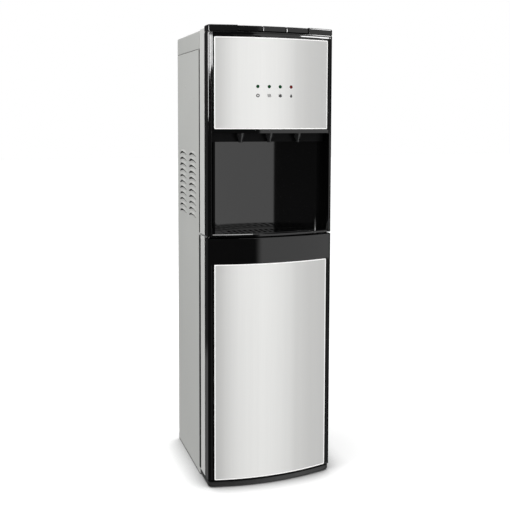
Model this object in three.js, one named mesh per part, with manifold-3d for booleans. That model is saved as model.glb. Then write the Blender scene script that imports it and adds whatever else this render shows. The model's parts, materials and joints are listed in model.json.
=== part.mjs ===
// Bottom load water cooler, millimetres, +Z up, front towards -Y, origin at the bottom centre.
import * as THREE from 'three';
import { mergeVertices } from 'three/addons/utils/BufferGeometryUtils.js';
import { ConvexGeometry } from 'three/addons/geometries/ConvexGeometry.js';
import Module from 'manifold-3d';

// ---------------------------------------------------------------- driving dimensions
const WIDTH = 298; // overall body width
const HEIGHT = 1050; // floor to the top of the key row
const HEAD = 471.5; // height of the upper front with its key row
const FRONT = 175; // centre of the bowed front, ahead of the origin
const BOW_DEPTH = 21.5; // how far the front bows out at its centre
const BLACK_DEPTH = 53; // depth of the black front mouldings
const COLLAR_DEPTH = 42.7; // depth of the silver returns behind them
const SEAM = 2.3; // visible seam between cabinet and front
const CABINET_BACK = 150; // rear face of the steel cabinet
const REAR_REACH = 175; // rear of the condenser
const COVER_HEIGHT = 41.3;
const FASCIA_HEIGHT = 203.5; // upper steel panel
const BAND_HEIGHT = 58.5; // black band across the door's top
const CAP_DEPTH = 29.5; // recess in the door's top below the drip tray
const STILE = 13.5; // black margin beside the steel panels
const RECESS = 3.2; // open channel around the steel panels
const BAY_STILE = 8.5; // black margin beside the dispensing bay
const BAY_WALL_RADIUS = 420; // plan radius of the curved bay wall
const CORNER = 12; // rounding of the front vertical corners
const WALL = 3; // plastic wall
const SHEET = 1.2; // steel sheet
const SKIN = 1.2; // steel front panels
const GAP = 0.3; // clearance between pieces that seat on each other
const DOOR_BOTTOM = 16.5;
const PLINTH_BOTTOM = 1;
const FOOT_SEAT = 3; // underside of the cabinet where the feet screw in
const KEY_SETBACK = 1.6; // key fronts behind the bowed front
const KEY_WELL = 10; // front of the trough that the keys sink into, behind the bowed front
const KEY_CLEAR = 0.9; // half the slit between keys
const ROD_RADIUS = 2;
const SPOUT_SPACING = 69;
const TRAY_DEPTH = 24;
const WIRE_DEPTH = 3.4; // condenser wires
const LOUVRE = { rows: 11, pitch: 14.5, rise: 34.5, reach: 3, half: 36, arch: 8, brow: 6, sides: 4 };
const LOUVRE_COLUMNS = [-6.5, 90.5]; // middle of each column along the depth
const BOW_SIDES = 16;

// ---------------------------------------------------------------- derived dimensions
const HALF = WIDTH / 2;
const BOW_RADIUS = (HALF * HALF + BOW_DEPTH * BOW_DEPTH) / (2 * BOW_DEPTH);
const BOW_CENTRE = BOW_RADIUS - FRONT;
const COLLAR_FRONT = BLACK_DEPTH - FRONT; // silver side returns end, black front begins
const FRONT_BACK = COLLAR_FRONT + COLLAR_DEPTH; // rear edge of collar and door
const CABINET_FRONT = FRONT_BACK + SEAM; // front edge of the steel side panels
const COVER_TOP = HEIGHT - 6;
const COLLAR_TOP = HEIGHT - 4;
const COVER_SEAM = COVER_TOP - COVER_HEIGHT; // seam between side panel and top cover
const BEZEL_TOP = HEIGHT - 17;
const FASCIA_TOP = BEZEL_TOP - 9.5;
const FASCIA_BOTTOM = FASCIA_TOP - FASCIA_HEIGHT;
const BAY_TOP = FASCIA_BOTTOM - 9; // upper edge of the dispensing bay opening
const UPPER_BOTTOM = HEIGHT - HEAD; // lower edge of the upper front
const DOOR_TOP = UPPER_BOTTOM - 4;
const PLINTH_TOP = DOOR_BOTTOM - 3.5;
const CAP_BOTTOM = DOOR_TOP - CAP_DEPTH; // underside of the door's recessed top wall
const DOOR_PANEL_TOP = DOOR_TOP - BAND_HEIGHT;
const DIVIDER_Z = UPPER_BOTTOM - SHEET; // shelf above the bottle compartment
const MACHINE_FLOOR = DIVIDER_Z + SHEET;
const RIM_BOTTOM = UPPER_BOTTOM + 2.6;
const RIM_TOP = RIM_BOTTOM + 3;
const PANEL_HALF = HALF - STILE; // half width of both steel front panels
const FOLD_HALF = HALF - 11.5; // half width between the folded front edges of the side panels
const BAY_HALF = HALF - BAY_STILE;
const BAY_BACK = FRONT_BACK - SHEET; // deepest point of the curved bay wall
const TRAY_HALF = BAY_HALF - 36.5; // half width of the tray's bowl
const SPOUT_Y = COLLAR_FRONT - 16;
const SPOUT_TIP = BAY_TOP - 21.5;
const BEAM_BOTTOM = SPOUT_TIP + 1;
const BEAM_FRONT = COLLAR_FRONT - 3.5;
const KEY_SPAN = HALF - 64.7; // half width of the key row
const KEY_TOP = HEIGHT - 1.2;
const KEY_BOTTOM = BEZEL_TOP + 4.6; // leaves the keys their travel above the ledge
const KEY_AXIS = { y: COLLAR_FRONT - 7.2, z: HEIGHT - 10 };
const STEM_Y = 25 - FRONT; // pushers below the keys
const PIT_BOTTOM = HEIGHT - 28; // underside of the trough below the keys
const BOARD_FACE = 15 - FRONT; // front face of the control board
const LED = { z: FASCIA_TOP - 108.5, radius: 2.7, x: [-39.5, -13, 13, 39.5] };
const LOUVRE_LOW = UPPER_BOTTOM + LOUVRE.rise;
const HINGE = { x: 10 - HALF, y: COLLAR_FRONT + 20, pin: 4 };

const MATERIALS = {
  silver: [0xb4b5b3, 0.45, 0.35],
  steelPaint: [0xa9aaa8, 0.5, 0.3],
  steel: [0xc9c9c7, 0.3, 0.9],
  black: [0x0c0c0d, 0.12, 0.0],
  blackMatt: [0x1a1a1b, 0.6, 0.0],
  grey: [0x4a4b4d, 0.55, 0.0],
  rubber: [0x151515, 0.85, 0.0],
  zinc: [0x9a9c9e, 0.4, 0.8],
  foam: [0xe8e4d4, 0.9, 0.0],
  hose: [0xe6e8e8, 0.4, 0.0],
  green: [0x2f9a4a, 0.3, 0.0],
  red: [0xc02424, 0.35, 0.0],
  board: [0x1f5b35, 0.6, 0.0],
  white: [0xe9e9e6, 0.5, 0.0],
};

// ---------------------------------------------------------------- solid helpers
const wasm = await Module();
wasm.setup();

function body(geometry) {
  const bare = geometry.clone();
  bare.deleteAttribute('normal');
  bare.deleteAttribute('uv');
  const merged = mergeVertices(bare, 1e-4);
  return new wasm.Manifold(new wasm.Mesh({
    numProp: 3,
    vertProperties: new Float32Array(merged.attributes.position.array),
    triVerts: new Uint32Array(merged.index.array),
  }));
}

const join = (first, ...others) => others.reduce((sum, other) => sum.add(other), first);
const cut = (first, ...others) => others.reduce((rest, other) => rest.subtract(other), first);

function shapeOf(points) {
  return new THREE.Shape(points.map(([a, b]) => new THREE.Vector2(a, b)));
}

// prism standing on Z, from an outline in X and Y
function prismZ(points, z0, z1) {
  const geometry = new THREE.ExtrudeGeometry(shapeOf(points), { depth: z1 - z0, bevelEnabled: false });
  return body(geometry.translate(0, 0, z0));
}

// prism along Y, from an outline in X and Z
function prismY(points, y0, y1) {
  const geometry = new THREE.ExtrudeGeometry(shapeOf(points), { depth: y1 - y0, bevelEnabled: false });
  return body(geometry.rotateX(Math.PI / 2).translate(0, y1, 0));
}

// prism along X, from an outline in Y and Z
function prismX(points, x0, x1) {
  const geometry = new THREE.ExtrudeGeometry(shapeOf(points), { depth: x1 - x0, bevelEnabled: false });
  const turn = new THREE.Matrix4().makeBasis(
    new THREE.Vector3(0, 1, 0), new THREE.Vector3(0, 0, 1), new THREE.Vector3(1, 0, 0));
  return body(geometry.applyMatrix4(turn).translate(x0, 0, 0));
}

// prism standing on Z with its upper edge bevelled
function paddedZ(points, z0, z1, bevel) {
  const geometry = new THREE.ExtrudeGeometry(shapeOf(points), {
    depth: z1 - z0, bevelEnabled: true, bevelThickness: bevel, bevelSize: bevel,
    bevelOffset: -bevel, bevelSegments: 2,
  });
  const pad = body(geometry.translate(0, 0, z0 - bevel));
  return pad.subtract(block(-WIDTH, WIDTH, -WIDTH, WIDTH, z0 - 20, z0));
}

function block(x0, x1, y0, y1, z0, z1) {
  const geometry = new THREE.BoxGeometry(x1 - x0, y1 - y0, z1 - z0);
  return body(geometry.translate((x0 + x1) / 2, (y0 + y1) / 2, (z0 + z1) / 2));
}

// turned piece about a vertical axis; the profile lists radius and height
function turned(profile, x, y, sides = 20) {
  const points = profile.map(([r, z]) => new THREE.Vector2(r, z));
  const geometry = new THREE.LatheGeometry(points, sides);
  return body(geometry.rotateX(Math.PI / 2).translate(x, y, 0));
}

// turned piece about an axis along Y; the profile lists radius and Y
function turnedY(profile, x, z, sides = 20) {
  const points = profile.map(([r, y]) => new THREE.Vector2(r, y));
  return body(new THREE.LatheGeometry(points, sides).translate(x, 0, z));
}

function post(radius, x, y, z0, z1, sides = 20) {
  return turned([[0, z0], [radius, z0], [radius, z1], [0, z1]], x, y, sides);
}

function rodX(radius, x0, x1, y, z, sides = 14) {
  const geometry = new THREE.CylinderGeometry(radius, radius, x1 - x0, sides);
  return body(geometry.rotateZ(Math.PI / 2).translate((x0 + x1) / 2, y, z));
}

function rodY(radius, x, y0, y1, z, sides = 14) {
  const geometry = new THREE.CylinderGeometry(radius, radius, y1 - y0, sides);
  return body(geometry.translate(x, (y0 + y1) / 2, z));
}

// a line through listed points, one ring of the swept tube at each
class TubeLine extends THREE.Curve {
  constructor(points) {
    super();
    this.points = points.map((p) => new THREE.Vector3(...p));
  }

  getPoint(t, target = new THREE.Vector3()) {
    const place = Math.min(Math.max(t, 0), 1) * (this.points.length - 1);
    const index = Math.min(Math.floor(place), this.points.length - 2);
    return target.copy(this.points[index]).lerp(this.points[index + 1], place - index);
  }

  getUtoTmapping(u) {
    return u;
  }
}

function sweep(points, radius, sides = 8) {
  const ring = [];
  for (let i = 0; i < sides; i += 1) {
    const angle = (2 * Math.PI * i) / sides;
    ring.push([radius * Math.cos(angle), radius * Math.sin(angle)]);
  }
  return body(new THREE.ExtrudeGeometry(shapeOf(ring), {
    steps: points.length - 1, extrudePath: new TubeLine(points),
  }));
}

function smooth(points, count) {
  const curve = new THREE.CatmullRomCurve3(points.map((p) => new THREE.Vector3(...p)), false, 'centripetal');
  return curve.getSpacedPoints(count).map((p) => [p.x, p.y, p.z]);
}

const root = new THREE.Group();
root.name = 'bottom_load_water_cooler';

function add(name, solid, finish) {
  const mesh = solid.getMesh();
  const geometry = new THREE.BufferGeometry();
  geometry.setAttribute('position', new THREE.BufferAttribute(new Float32Array(mesh.vertProperties), 3));
  geometry.setIndex(new THREE.BufferAttribute(new Uint32Array(mesh.triVerts), 1));
  geometry.computeVertexNormals();
  const [color, roughness, metalness] = MATERIALS[finish];
  const piece = new THREE.Mesh(geometry, new THREE.MeshStandardMaterial({ color, roughness, metalness }));
  piece.name = name;
  root.add(piece);
}

// ---------------------------------------------------------------- outlines
// the bowed front face, a given distance inside it
function bow(x, inset = 0) {
  const r = BOW_RADIUS - inset;
  return BOW_CENTRE - Math.sqrt(r * r - x * x);
}

function bowLine(x0, x1, inset, sides = BOW_SIDES) {
  const line = [];
  for (let i = 0; i <= sides; i += 1) {
    const x = x0 + ((x1 - x0) * i) / sides;
    line.push([x, bow(x, inset)]);
  }
  return line;
}

function roundedCorner(from, knee, to, sides = 4) {
  const curve = new THREE.QuadraticBezierCurve(
    new THREE.Vector2(...from), new THREE.Vector2(...knee), new THREE.Vector2(...to));
  return curve.getPoints(sides).slice(0, sides).map((p) => [p.x, p.y]);
}

// plan of the front: straight back and sides, rounded corners, bowed face
function frontPlan(half, back, inset, corner) {
  const side = bow(half, inset);
  const start = half - corner;
  const left = roundedCorner([-half, side + corner], [-half, side], [-start, bow(start, inset)]);
  const right = left.map(([x, y]) => [-x, y]).reverse();
  return [[-half, back], ...left, ...bowLine(-start, start, inset), ...right, [half, back]];
}

// strip that follows the bow between two insets
function bowStrip(half, outer, inner, z0, z1) {
  const points = [...bowLine(-half, half, outer), ...bowLine(half, -half, inner)];
  return prismZ(points, z0, z1);
}

// plan of the dispensing bay: gently curved back, rounded rear corners
function bayPlan(grow, frontY) {
  const half = BAY_HALF - 0.5 + grow;
  const back = BAY_BACK + grow;
  const knee = BAY_HALF - 32.5;
  const kneeY = back - (knee * knee) / (2 * BAY_WALL_RADIUS);
  const wall = [];
  for (let i = 0; i <= 10; i += 1) {
    const x = knee - (2 * knee * i) / 10;
    wall.push([x, back - (x * x) / (2 * BAY_WALL_RADIUS)]);
  }
  const right = roundedCorner([half, kneeY - 42], [half, kneeY - 6], [knee, kneeY], 5);
  const left = right.map(([x, y]) => [-x, y]).reverse();
  return [[half, frontY], ...right, ...wall, ...left, [-half, frontY]].reverse();
}

// outline of a box open or closed below, with rounded upper corners
function archOutline(half, z0, z1, radius) {
  const left = roundedCorner([-half, z1 - radius], [-half, z1], [-half + radius, z1]);
  const right = left.map(([x, z]) => [-x, z]).reverse();
  return [[half, z0], ...right.reverse(), [half - radius, z1], ...left.reverse(), [-half, z0]];
}

// ---------------------------------------------------------------- cabinet
// arc along the depth, from one end of a louvre to the other; rise is its height in the middle
function louvreArc(half, low, rise, drop = 0) {
  const line = [];
  for (let i = 0; i <= LOUVRE.sides; i += 1) {
    const t = (2 * i) / LOUVRE.sides - 1;
    line.push([half * t, low + rise * (1 - t * t) - drop]);
  }
  return line;
}

// pressed hood with an arched lip: its outside, or with a skin given the hollow behind it
function louvreForm(skin) {
  const half = LOUVRE.half - skin * 2;
  const root = skin ? -SHEET - 1 : -SHEET / 2;
  const lip = louvreArc(half, 0, LOUVRE.arch, skin);
  const brow = louvreArc(half - 5, LOUVRE.brow + 4, LOUVRE.brow - 3, skin * 2);
  const tips = lip.map(([y, z]) => [LOUVRE.reach * (1 - (y / half) ** 2) - skin * 0.6, y, z]);
  const hull = body(new ConvexGeometry([
    ...tips, [root, -half, -skin], [root, half, -skin], ...brow.map(([y, z]) => [root, y, z]),
  ].map((p) => new THREE.Vector3(...p))));
  const field = prismX([...lip, [half, LOUVRE.pitch], [-half, LOUVRE.pitch]], root - 1, LOUVRE.reach + 1);
  return hull.intersect(field);
}

function sidePanel(side) {
  const outer = side * HALF;
  const inner = side * (HALF - SHEET);
  const fold = side * FOLD_HALF;
  const plan = [
    [outer, CABINET_FRONT], [outer, CABINET_BACK], [fold, CABINET_BACK], [fold, CABINET_BACK - SHEET],
    [inner, CABINET_BACK - SHEET], [inner, CABINET_FRONT + SHEET], [fold, CABINET_FRONT + SHEET],
    [fold, CABINET_FRONT],
  ];
  let panel = prismZ(plan, FOOT_SEAT, COVER_SEAM - 1.2);
  let hood = louvreForm(0);
  let hollow = louvreForm(0.7);
  if (side < 0) {
    hood = hood.mirror([1, 0, 0]);
    hollow = hollow.mirror([1, 0, 0]);
  }
  for (const y of LOUVRE_COLUMNS) {
    for (let row = 0; row < LOUVRE.rows; row += 1) {
      const place = [outer, y, LOUVRE_LOW + row * LOUVRE.pitch - LOUVRE.arch / 2];
      panel = cut(join(panel, hood.translate(place)), hollow.translate(place));
    }
  }
  return panel;
}

function basePan() {
  const half = HALF - SHEET - 0.6;
  const back = CABINET_BACK - SHEET - GAP;
  const outer = prismZ(frontPlan(half, back, 2, CORNER), PLINTH_BOTTOM, PLINTH_TOP);
  const hollow = prismZ(frontPlan(half - 4, back - 4, 6, CORNER - 3), PLINTH_BOTTOM - 1, PLINTH_TOP - 3);
  const folds = [-1, 1].map((s) => block(Math.min(s * HALF, s * (FOLD_HALF - GAP)),
    Math.max(s * HALF, s * (FOLD_HALF - GAP)), CABINET_FRONT - GAP, CABINET_FRONT + SHEET + GAP,
    PLINTH_BOTTOM - 1, PLINTH_TOP + 1));
  let pan = cut(outer, hollow, ...folds);
  for (const x of [-0.6, -0.2, 0.2, 0.6].map((part) => part * HALF)) {
    pan = join(pan, block(x - 1, x + 1, bow(x, 4), back - 1, PLINTH_BOTTOM, PLINTH_TOP - 1));
  }
  for (const x of [-70, 70]) {
    pan = join(pan, block(x - 4, x + 4, CABINET_FRONT + 17, CABINET_BACK - 30, PLINTH_TOP - 1, PLINTH_TOP + 4));
  }
  for (const [x, y] of FEET) {
    pan = join(pan, post(11, x, y, FOOT_SEAT, PLINTH_TOP - 1, 16));
    pan = cut(pan, post(5.3, x, y, FOOT_SEAT - 1, 9.5, 12));
  }
  return pan;
}

const FEET = [COLLAR_FRONT + 10, CABINET_BACK - 30].flatMap((y) => [[34 - HALF, y], [HALF - 34, y]]);

function foot([x, y]) {
  const top = FOOT_SEAT - GAP;
  return turned([[0, 0], [12.5, 0], [14, 1.2], [14, top], [5, top], [5, 9], [0, 9]], x, y, 16);
}

function dividerShelf() {
  const half = HALF - SHEET - GAP;
  const front = CABINET_FRONT + SHEET + GAP;
  const back = CABINET_BACK - SHEET - GAP - 3;
  const plate = block(-half, half, front, back, DIVIDER_Z, DIVIDER_Z + SHEET);
  const lips = [
    block(-half, half, front, front + SHEET, DIVIDER_Z - 12, DIVIDER_Z + 0.5),
    block(-half, half, back - SHEET, back, DIVIDER_Z - 12, DIVIDER_Z + 0.5),
  ];
  return cut(join(plate, ...lips), post(9, PROBE.x, PROBE.y, DIVIDER_Z - 2, DIVIDER_Z + 4, 14));
}

function backPanel(z0, z1) {
  const half = HALF - SHEET - GAP;
  const y1 = CABINET_BACK - SHEET - GAP;
  return block(-half, half, y1 - SHEET, y1, z0, z1);
}

function lowerBack() {
  const y1 = CABINET_BACK - SHEET - GAP;
  const rib = HALF - 29;
  let panel = backPanel(PLINTH_TOP + GAP + 1, DIVIDER_Z - 14);
  for (const z of [0.24, 0.52, 0.82].map((part) => part * DIVIDER_Z)) {
    panel = join(panel, block(-rib, rib, y1 - 0.2, y1 + 2, z - 8, z + 8));
    panel = cut(panel, block(1 - rib, rib - 1, y1 - 3, y1 + 1, z - 7, z + 7));
  }
  return join(panel, probeClip());
}

function upperBack() {
  const y = CABINET_BACK;
  let panel = backPanel(MACHINE_FLOOR + 1, COVER_SEAM - 2);
  for (let column = -1; column <= 1; column += 2) {
    for (let row = 0; row < 6; row += 1) {
      const x = column * 52;
      const z = MACHINE_FLOOR + 43.5 + row * 14;
      panel = cut(panel, block(x - 36, x + 36, y - 10, y + 10, z, z + 5));
    }
  }
  panel = cut(panel, block(SWITCH.x0 - 0.5, SWITCH.x1 + 0.5, y - 10, y + 10, SWITCH.z0 - 0.5, SWITCH.z1 + 0.5));
  panel = cut(panel, rodY(DRAIN.radius + 0.4, DRAIN.x, y - 10, y + 10, DRAIN.z));
  return cut(panel, rodY(GLAND.radius + 0.4, GLAND.x, y - 10, y + 10, GLAND.z));
}

function topCover() {
  const outer = prismY(archOutline(HALF, COVER_SEAM, COVER_TOP, 5), CABINET_FRONT, CABINET_BACK);
  const inner = prismY(archOutline(HALF - WALL, COVER_SEAM - 1, COVER_TOP - WALL, 3),
    CABINET_FRONT - 5, CABINET_BACK - WALL);
  const shell = cut(outer, inner);
  const field = prismZ(insetField(HALF - 16, CABINET_FRONT + 10, CABINET_BACK - 12, 8),
    COVER_TOP - 1, COVER_TOP + 1);
  const reach = HALF - SHEET - GAP;
  const tongues = [-1, 1].map((s) => block(Math.min(s * reach, s * (reach - 2)), Math.max(s * reach, s * (reach - 2)),
    CABINET_FRONT + 6, CABINET_BACK - 10, COVER_SEAM - 8, COVER_SEAM + 4));
  return join(cut(shell, field), ...tongues);
}

function insetField(half, y0, y1, radius) {
  const corner = roundedCorner([half, y1 - radius], [half, y1], [half - radius, y1], 3);
  const left = corner.map(([x, y]) => [-x, y]).reverse();
  return [[-half, y0], [half, y0], ...corner, [half - radius, y1], [-half + radius, y1], ...left];
}

// ---------------------------------------------------------------- upper front
function upperCollar() {
  const outer = prismY(archOutline(HALF, UPPER_BOTTOM, COLLAR_TOP, 5), COLLAR_FRONT, FRONT_BACK);
  const inner = prismY(archOutline(HALF - WALL, UPPER_BOTTOM - 1, COLLAR_TOP - WALL, 3),
    COLLAR_FRONT - 1, FRONT_BACK + 1);
  return cut(outer, inner);
}

function bezel() {
  const back = COLLAR_FRONT - GAP;
  const outer = prismZ(frontPlan(HALF, back, 0, CORNER), UPPER_BOTTOM, BEZEL_TOP);
  const inner = prismZ(frontPlan(HALF - WALL, back + 1, WALL + 0.4, CORNER - WALL),
    UPPER_BOTTOM - 1, BEZEL_TOP + 1);
  const seat = bowStrip(PANEL_HALF + RECESS, -4, SKIN + 0.5, FASCIA_BOTTOM - 2, FASCIA_TOP + RECESS);
  const window = block(17.5 - PANEL_HALF, PANEL_HALF - 17.5, -FRONT - 15, COLLAR_FRONT - 8,
    FASCIA_BOTTOM + 30, FASCIA_TOP - 20);
  const bay = prismY(archOutline(BAY_HALF, UPPER_BOTTOM - 5, BAY_TOP, 5), -FRONT - 15, COLLAR_FRONT - 6);
  return cut(outer, inner, seat, window, bay);
}

function frontSkin(z0, z1) {
  const strip = bowStrip(PANEL_HALF, 0.1, 0.1 + SKIN, z0, z1);
  const field = [[-PANEL_HALF, z0 + 2], [-PANEL_HALF + 2, z0], [PANEL_HALF - 2, z0], [PANEL_HALF, z0 + 2],
    [PANEL_HALF, z1 - 2], [PANEL_HALF - 2, z1], [-PANEL_HALF + 2, z1], [-PANEL_HALF, z1 - 2]];
  return strip.intersect(prismY(field, -FRONT - 15, COLLAR_FRONT + 2));
}

function fascia() {
  let panel = frontSkin(FASCIA_BOTTOM, FASCIA_TOP);
  for (const x of LED.x) panel = cut(panel, rodY(LED.radius + 0.25, x, -FRONT - 15, BOARD_FACE + 10, LED.z));
  return panel;
}

function ledLens(x) {
  const face = bow(x);
  const r = LED.radius;
  const rear = BOARD_FACE - GAP;
  return turnedY([[0, face], [r * 0.6, face + 0.25], [r, face + 1], [r, rear], [0, rear]], x, LED.z, 14);
}

function bayShell() {
  const front = bow(BAY_HALF, WALL);
  const liner = frontPlan(HALF - WALL - GAP, BAY_BACK + 5, WALL + 0.4 + GAP, CORNER - WALL);
  const floorFront = bowLine(-BAY_HALF + 1, BAY_HALF - 1, 4);
  const wall = cut(prismZ(bayPlan(2.2, front), UPPER_BOTTOM, BAY_TOP + 3),
    prismZ(bayPlan(0, front - 10), UPPER_BOTTOM - 1, BAY_TOP + 4))
    .intersect(prismZ(liner, UPPER_BOTTOM - 1, BAY_TOP + 4));
  const plan = [...floorFront, ...bayPlan(1, front).slice(1, -1).reverse()];
  const floor = prismZ(plan, UPPER_BOTTOM, UPPER_BOTTOM + 2);
  const ceiling = prismZ(plan, BAY_TOP + 1, BAY_TOP + 3);
  let shell = join(wall, cut(floor, prismZ(trayPlan(1), UPPER_BOTTOM - 1, UPPER_BOTTOM + 3)), ceiling);
  for (const x of SPOUT_X) shell = cut(shell, post(7.4, x, SPOUT_Y, BAY_TOP - 1, BAY_TOP + 5));
  return shell;
}

const SPOUT_X = [-SPOUT_SPACING, 0, SPOUT_SPACING];

function trayPlan(grow) {
  const half = TRAY_HALF + grow;
  const back = BAY_BACK - 19.5 + grow;
  const points = bowLine(-half + 4, half - 4, 14 - grow, 8);
  const side = bow(half, 14 - grow);
  return [[-half, back - 8], [-half, side + 4], ...points, [half, side + 4], [half, back - 8],
    [half - 8, back], [-half + 8, back]];
}

function dripTray() {
  const rimPlan = [...bowLine(-BAY_HALF + 2, BAY_HALF - 2, 1.2), ...bayPlan(-1, SPOUT_Y).slice(1, -1).reverse()];
  const lip = bowStrip(BAY_HALF - 2, 1.2, 3.5, UPPER_BOTTOM + 0.8, RIM_TOP - 1);
  const bowl = prismZ(trayPlan(0), RIM_BOTTOM - TRAY_DEPTH, RIM_BOTTOM + 1);
  const hollow = prismZ(trayPlan(-1.6), RIM_BOTTOM - TRAY_DEPTH + 1.8, RIM_TOP + 1);
  const seat = prismZ(trayPlan(3.4), RIM_TOP - 1.7, RIM_TOP + 1);
  return cut(join(prismZ(rimPlan, RIM_BOTTOM, RIM_TOP), lip, bowl), hollow, seat);
}

function dripGrille() {
  let plate = prismZ(trayPlan(3), RIM_TOP - 1.4, RIM_TOP + 0.6);
  for (let i = -7; i <= 7; i += 1) {
    const x = (i * TRAY_HALF) / 8;
    plate = cut(plate, block(x - 3.4, x + 3.4, bow(x, 20), SPOUT_Y + 1, RIM_TOP - 5, RIM_TOP + 5));
    plate = cut(plate, block(x - 3.4, x + 3.4, SPOUT_Y + 7, BAY_BACK - 26.5, RIM_TOP - 5, RIM_TOP + 5));
  }
  return plate;
}

function spoutBeam() {
  const outer = prismZ(bayPlan(-0.5, -FRONT - 15), BEAM_BOTTOM, BAY_TOP + 0.6);
  const front = block(-HALF, HALF, -FRONT - 20, BEAM_FRONT, BEAM_BOTTOM - 1, BAY_TOP + 2);
  const hollow = block(35.5 - BAY_HALF, BAY_HALF - 35.5, BEAM_FRONT + 2.5, BAY_BACK - 19.5,
    BEAM_BOTTOM + 2.5, BAY_TOP + 2);
  return cut(outer, front, hollow);
}

function spout(x) {
  const profile = [[3, SPOUT_TIP], [4.8, SPOUT_TIP], [9.6, BAY_TOP - 6], [10.4, BAY_TOP + 0.6], [7, BAY_TOP + 0.6],
    [7, BAY_TOP + 9], [3, BAY_TOP + 9], [3, SPOUT_TIP]];
  return turned(profile, x, SPOUT_Y, 14);
}

function valve(x) {
  const z = BAY_TOP + 9 + GAP;
  const shell = turned([[0, z], [11, z], [13, z + 2], [13, z + 34], [0, z + 34]], x, SPOUT_Y, 16);
  const coil = block(x - 12, x + 12, SPOUT_Y + 8, SPOUT_Y + 34, z + 8, z + 30);
  const inlet = rodY(4.5, x, SPOUT_Y + 30, SPOUT_Y + 46, z + 19, 10);
  return join(shell, coil, inlet);
}

// ---------------------------------------------------------------- keys
function keyPlan(x0, x1, setback, back) {
  return [...bowLine(x0, x1, setback, 5), [x1, back], [x0, back]];
}

function keyDeck() {
  const back = COLLAR_FRONT - GAP;
  const span = KEY_SPAN;
  const base = BEZEL_TOP + GAP;
  const outer = paddedZ(frontPlan(HALF, back, 0, CORNER), base, HEIGHT, 3);
  const under = prismZ(frontPlan(HALF - WALL, back - 2.2, WALL, CORNER - WALL), base - 1, HEIGHT - WALL);
  const pit = prismZ(keyPlan(-span - 2.4, span + 2.4, KEY_WELL - 2.8, back), PIT_BOTTOM, base + 2);
  const cheeks = prismZ(keyPlan(-span - 2.4, span + 2.4, WALL - 1, back), base, HEIGHT - 1);
  const trough = prismZ(keyPlan(-span, span, KEY_WELL - 0.4, back - 2), PIT_BOTTOM + 2, HEIGHT + 5);
  const ledge = prismZ(keyPlan(-span, span, -5, back - 2), base + 1.6, HEIGHT + 5);
  let deck = cut(join(cut(outer, under), pit, cheeks), trough, ledge);
  for (const [x0, x1] of KEY_BOUNDS) {
    const x = (x0 + x1) / 2;
    deck = cut(deck, block(x - 7, x + 7, STEM_Y - 8, STEM_Y + 8, PIT_BOTTOM - 2, PIT_BOTTOM + 4));
  }
  return cut(deck, rodX(ROD_RADIUS + GAP, -span - 3, span + 3, KEY_AXIS.y, KEY_AXIS.z));
}

const KEY_BOUNDS = [[-KEY_SPAN, -KEY_SPAN / 3], [-KEY_SPAN / 3, KEY_SPAN / 3], [KEY_SPAN / 3, KEY_SPAN]];

function key([left, right]) {
  const x0 = left + KEY_CLEAR;
  const x1 = right - KEY_CLEAR;
  const back = COLLAR_FRONT - 3.2;
  const outer = paddedZ(keyPlan(x0, x1, KEY_SETBACK, back), KEY_BOTTOM, KEY_TOP, 1.6);
  const under = prismZ(keyPlan(x0 + 2, x1 - 2, KEY_SETBACK + 2, back - 2), KEY_BOTTOM - 1, KEY_TOP - 2);
  const x = (left + right) / 2;
  const stem = block(x - 4, x + 4, STEM_Y - 4, STEM_Y + 4, PIT_BOTTOM - 8, KEY_TOP - 1);
  const barrel = rodX(ROD_RADIUS + 2.2, x0, x1, KEY_AXIS.y, KEY_AXIS.z);
  const bore = rodX(ROD_RADIUS + GAP, x0 - 1, x1 + 1, KEY_AXIS.y, KEY_AXIS.z);
  return cut(join(cut(outer, under), stem, barrel), bore);
}

const LOCK = { x0: 12.3 - KEY_SPAN, x1: 24.3 - KEY_SPAN, y0: STEM_Y - 9, y1: STEM_Y - 2, travel: 5 };

function hotKey() {
  const groove = block(LOCK.x0 - GAP, LOCK.x1 + LOCK.travel + GAP, LOCK.y0 - GAP, LOCK.y1 + GAP,
    KEY_TOP - 1, KEY_TOP + 1);
  return cut(key(KEY_BOUNDS[0]), groove);
}

function childLock() {
  const foot = block(LOCK.x0, LOCK.x1, LOCK.y0, LOCK.y1, KEY_TOP - 0.7, KEY_TOP + 0.7);
  const ridges = [LOCK.x0 + 1.5, LOCK.x0 + 5, LOCK.x0 + 8.5].map(
    (x) => block(x, x + 2, LOCK.y0 + 0.6, LOCK.y1 - 0.6, KEY_TOP + 0.4, HEIGHT));
  return join(foot, ...ridges);
}

function switchBoard() {
  const top = PIT_BOTTOM - 14.4;
  const half = KEY_SPAN - 6.3;
  const plate = block(-half, half, STEM_Y - 10, STEM_Y + 12, top - 1.6, top);
  const switches = KEY_BOUNDS.map(([x0, x1]) => (x0 + x1) / 2).map(
    (x) => block(x - 6, x + 6, STEM_Y - 5, STEM_Y + 5, top - 0.6, top + 4.9));
  const posts = [4 - half, half - 4].map(
    (x) => block(x - 3, x + 3, STEM_Y - 1, STEM_Y + 5, top - 0.6, PIT_BOTTOM - GAP));
  return join(plate, ...switches, ...posts);
}

function controlBoard() {
  const y = BOARD_FACE;
  const plate = block(-62, 62, y, y + 1.6, LED.z - 35, LED.z + 35);
  const parts = [[-40, 8, -25, 12], [-8, 14, 10, 9], [30, 10, -20, 14]].map(
    ([x, w, z, h]) => block(x, x + w, y + 1.4, y + 10, LED.z + z, LED.z + z + h));
  return join(plate, ...parts);
}

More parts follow.
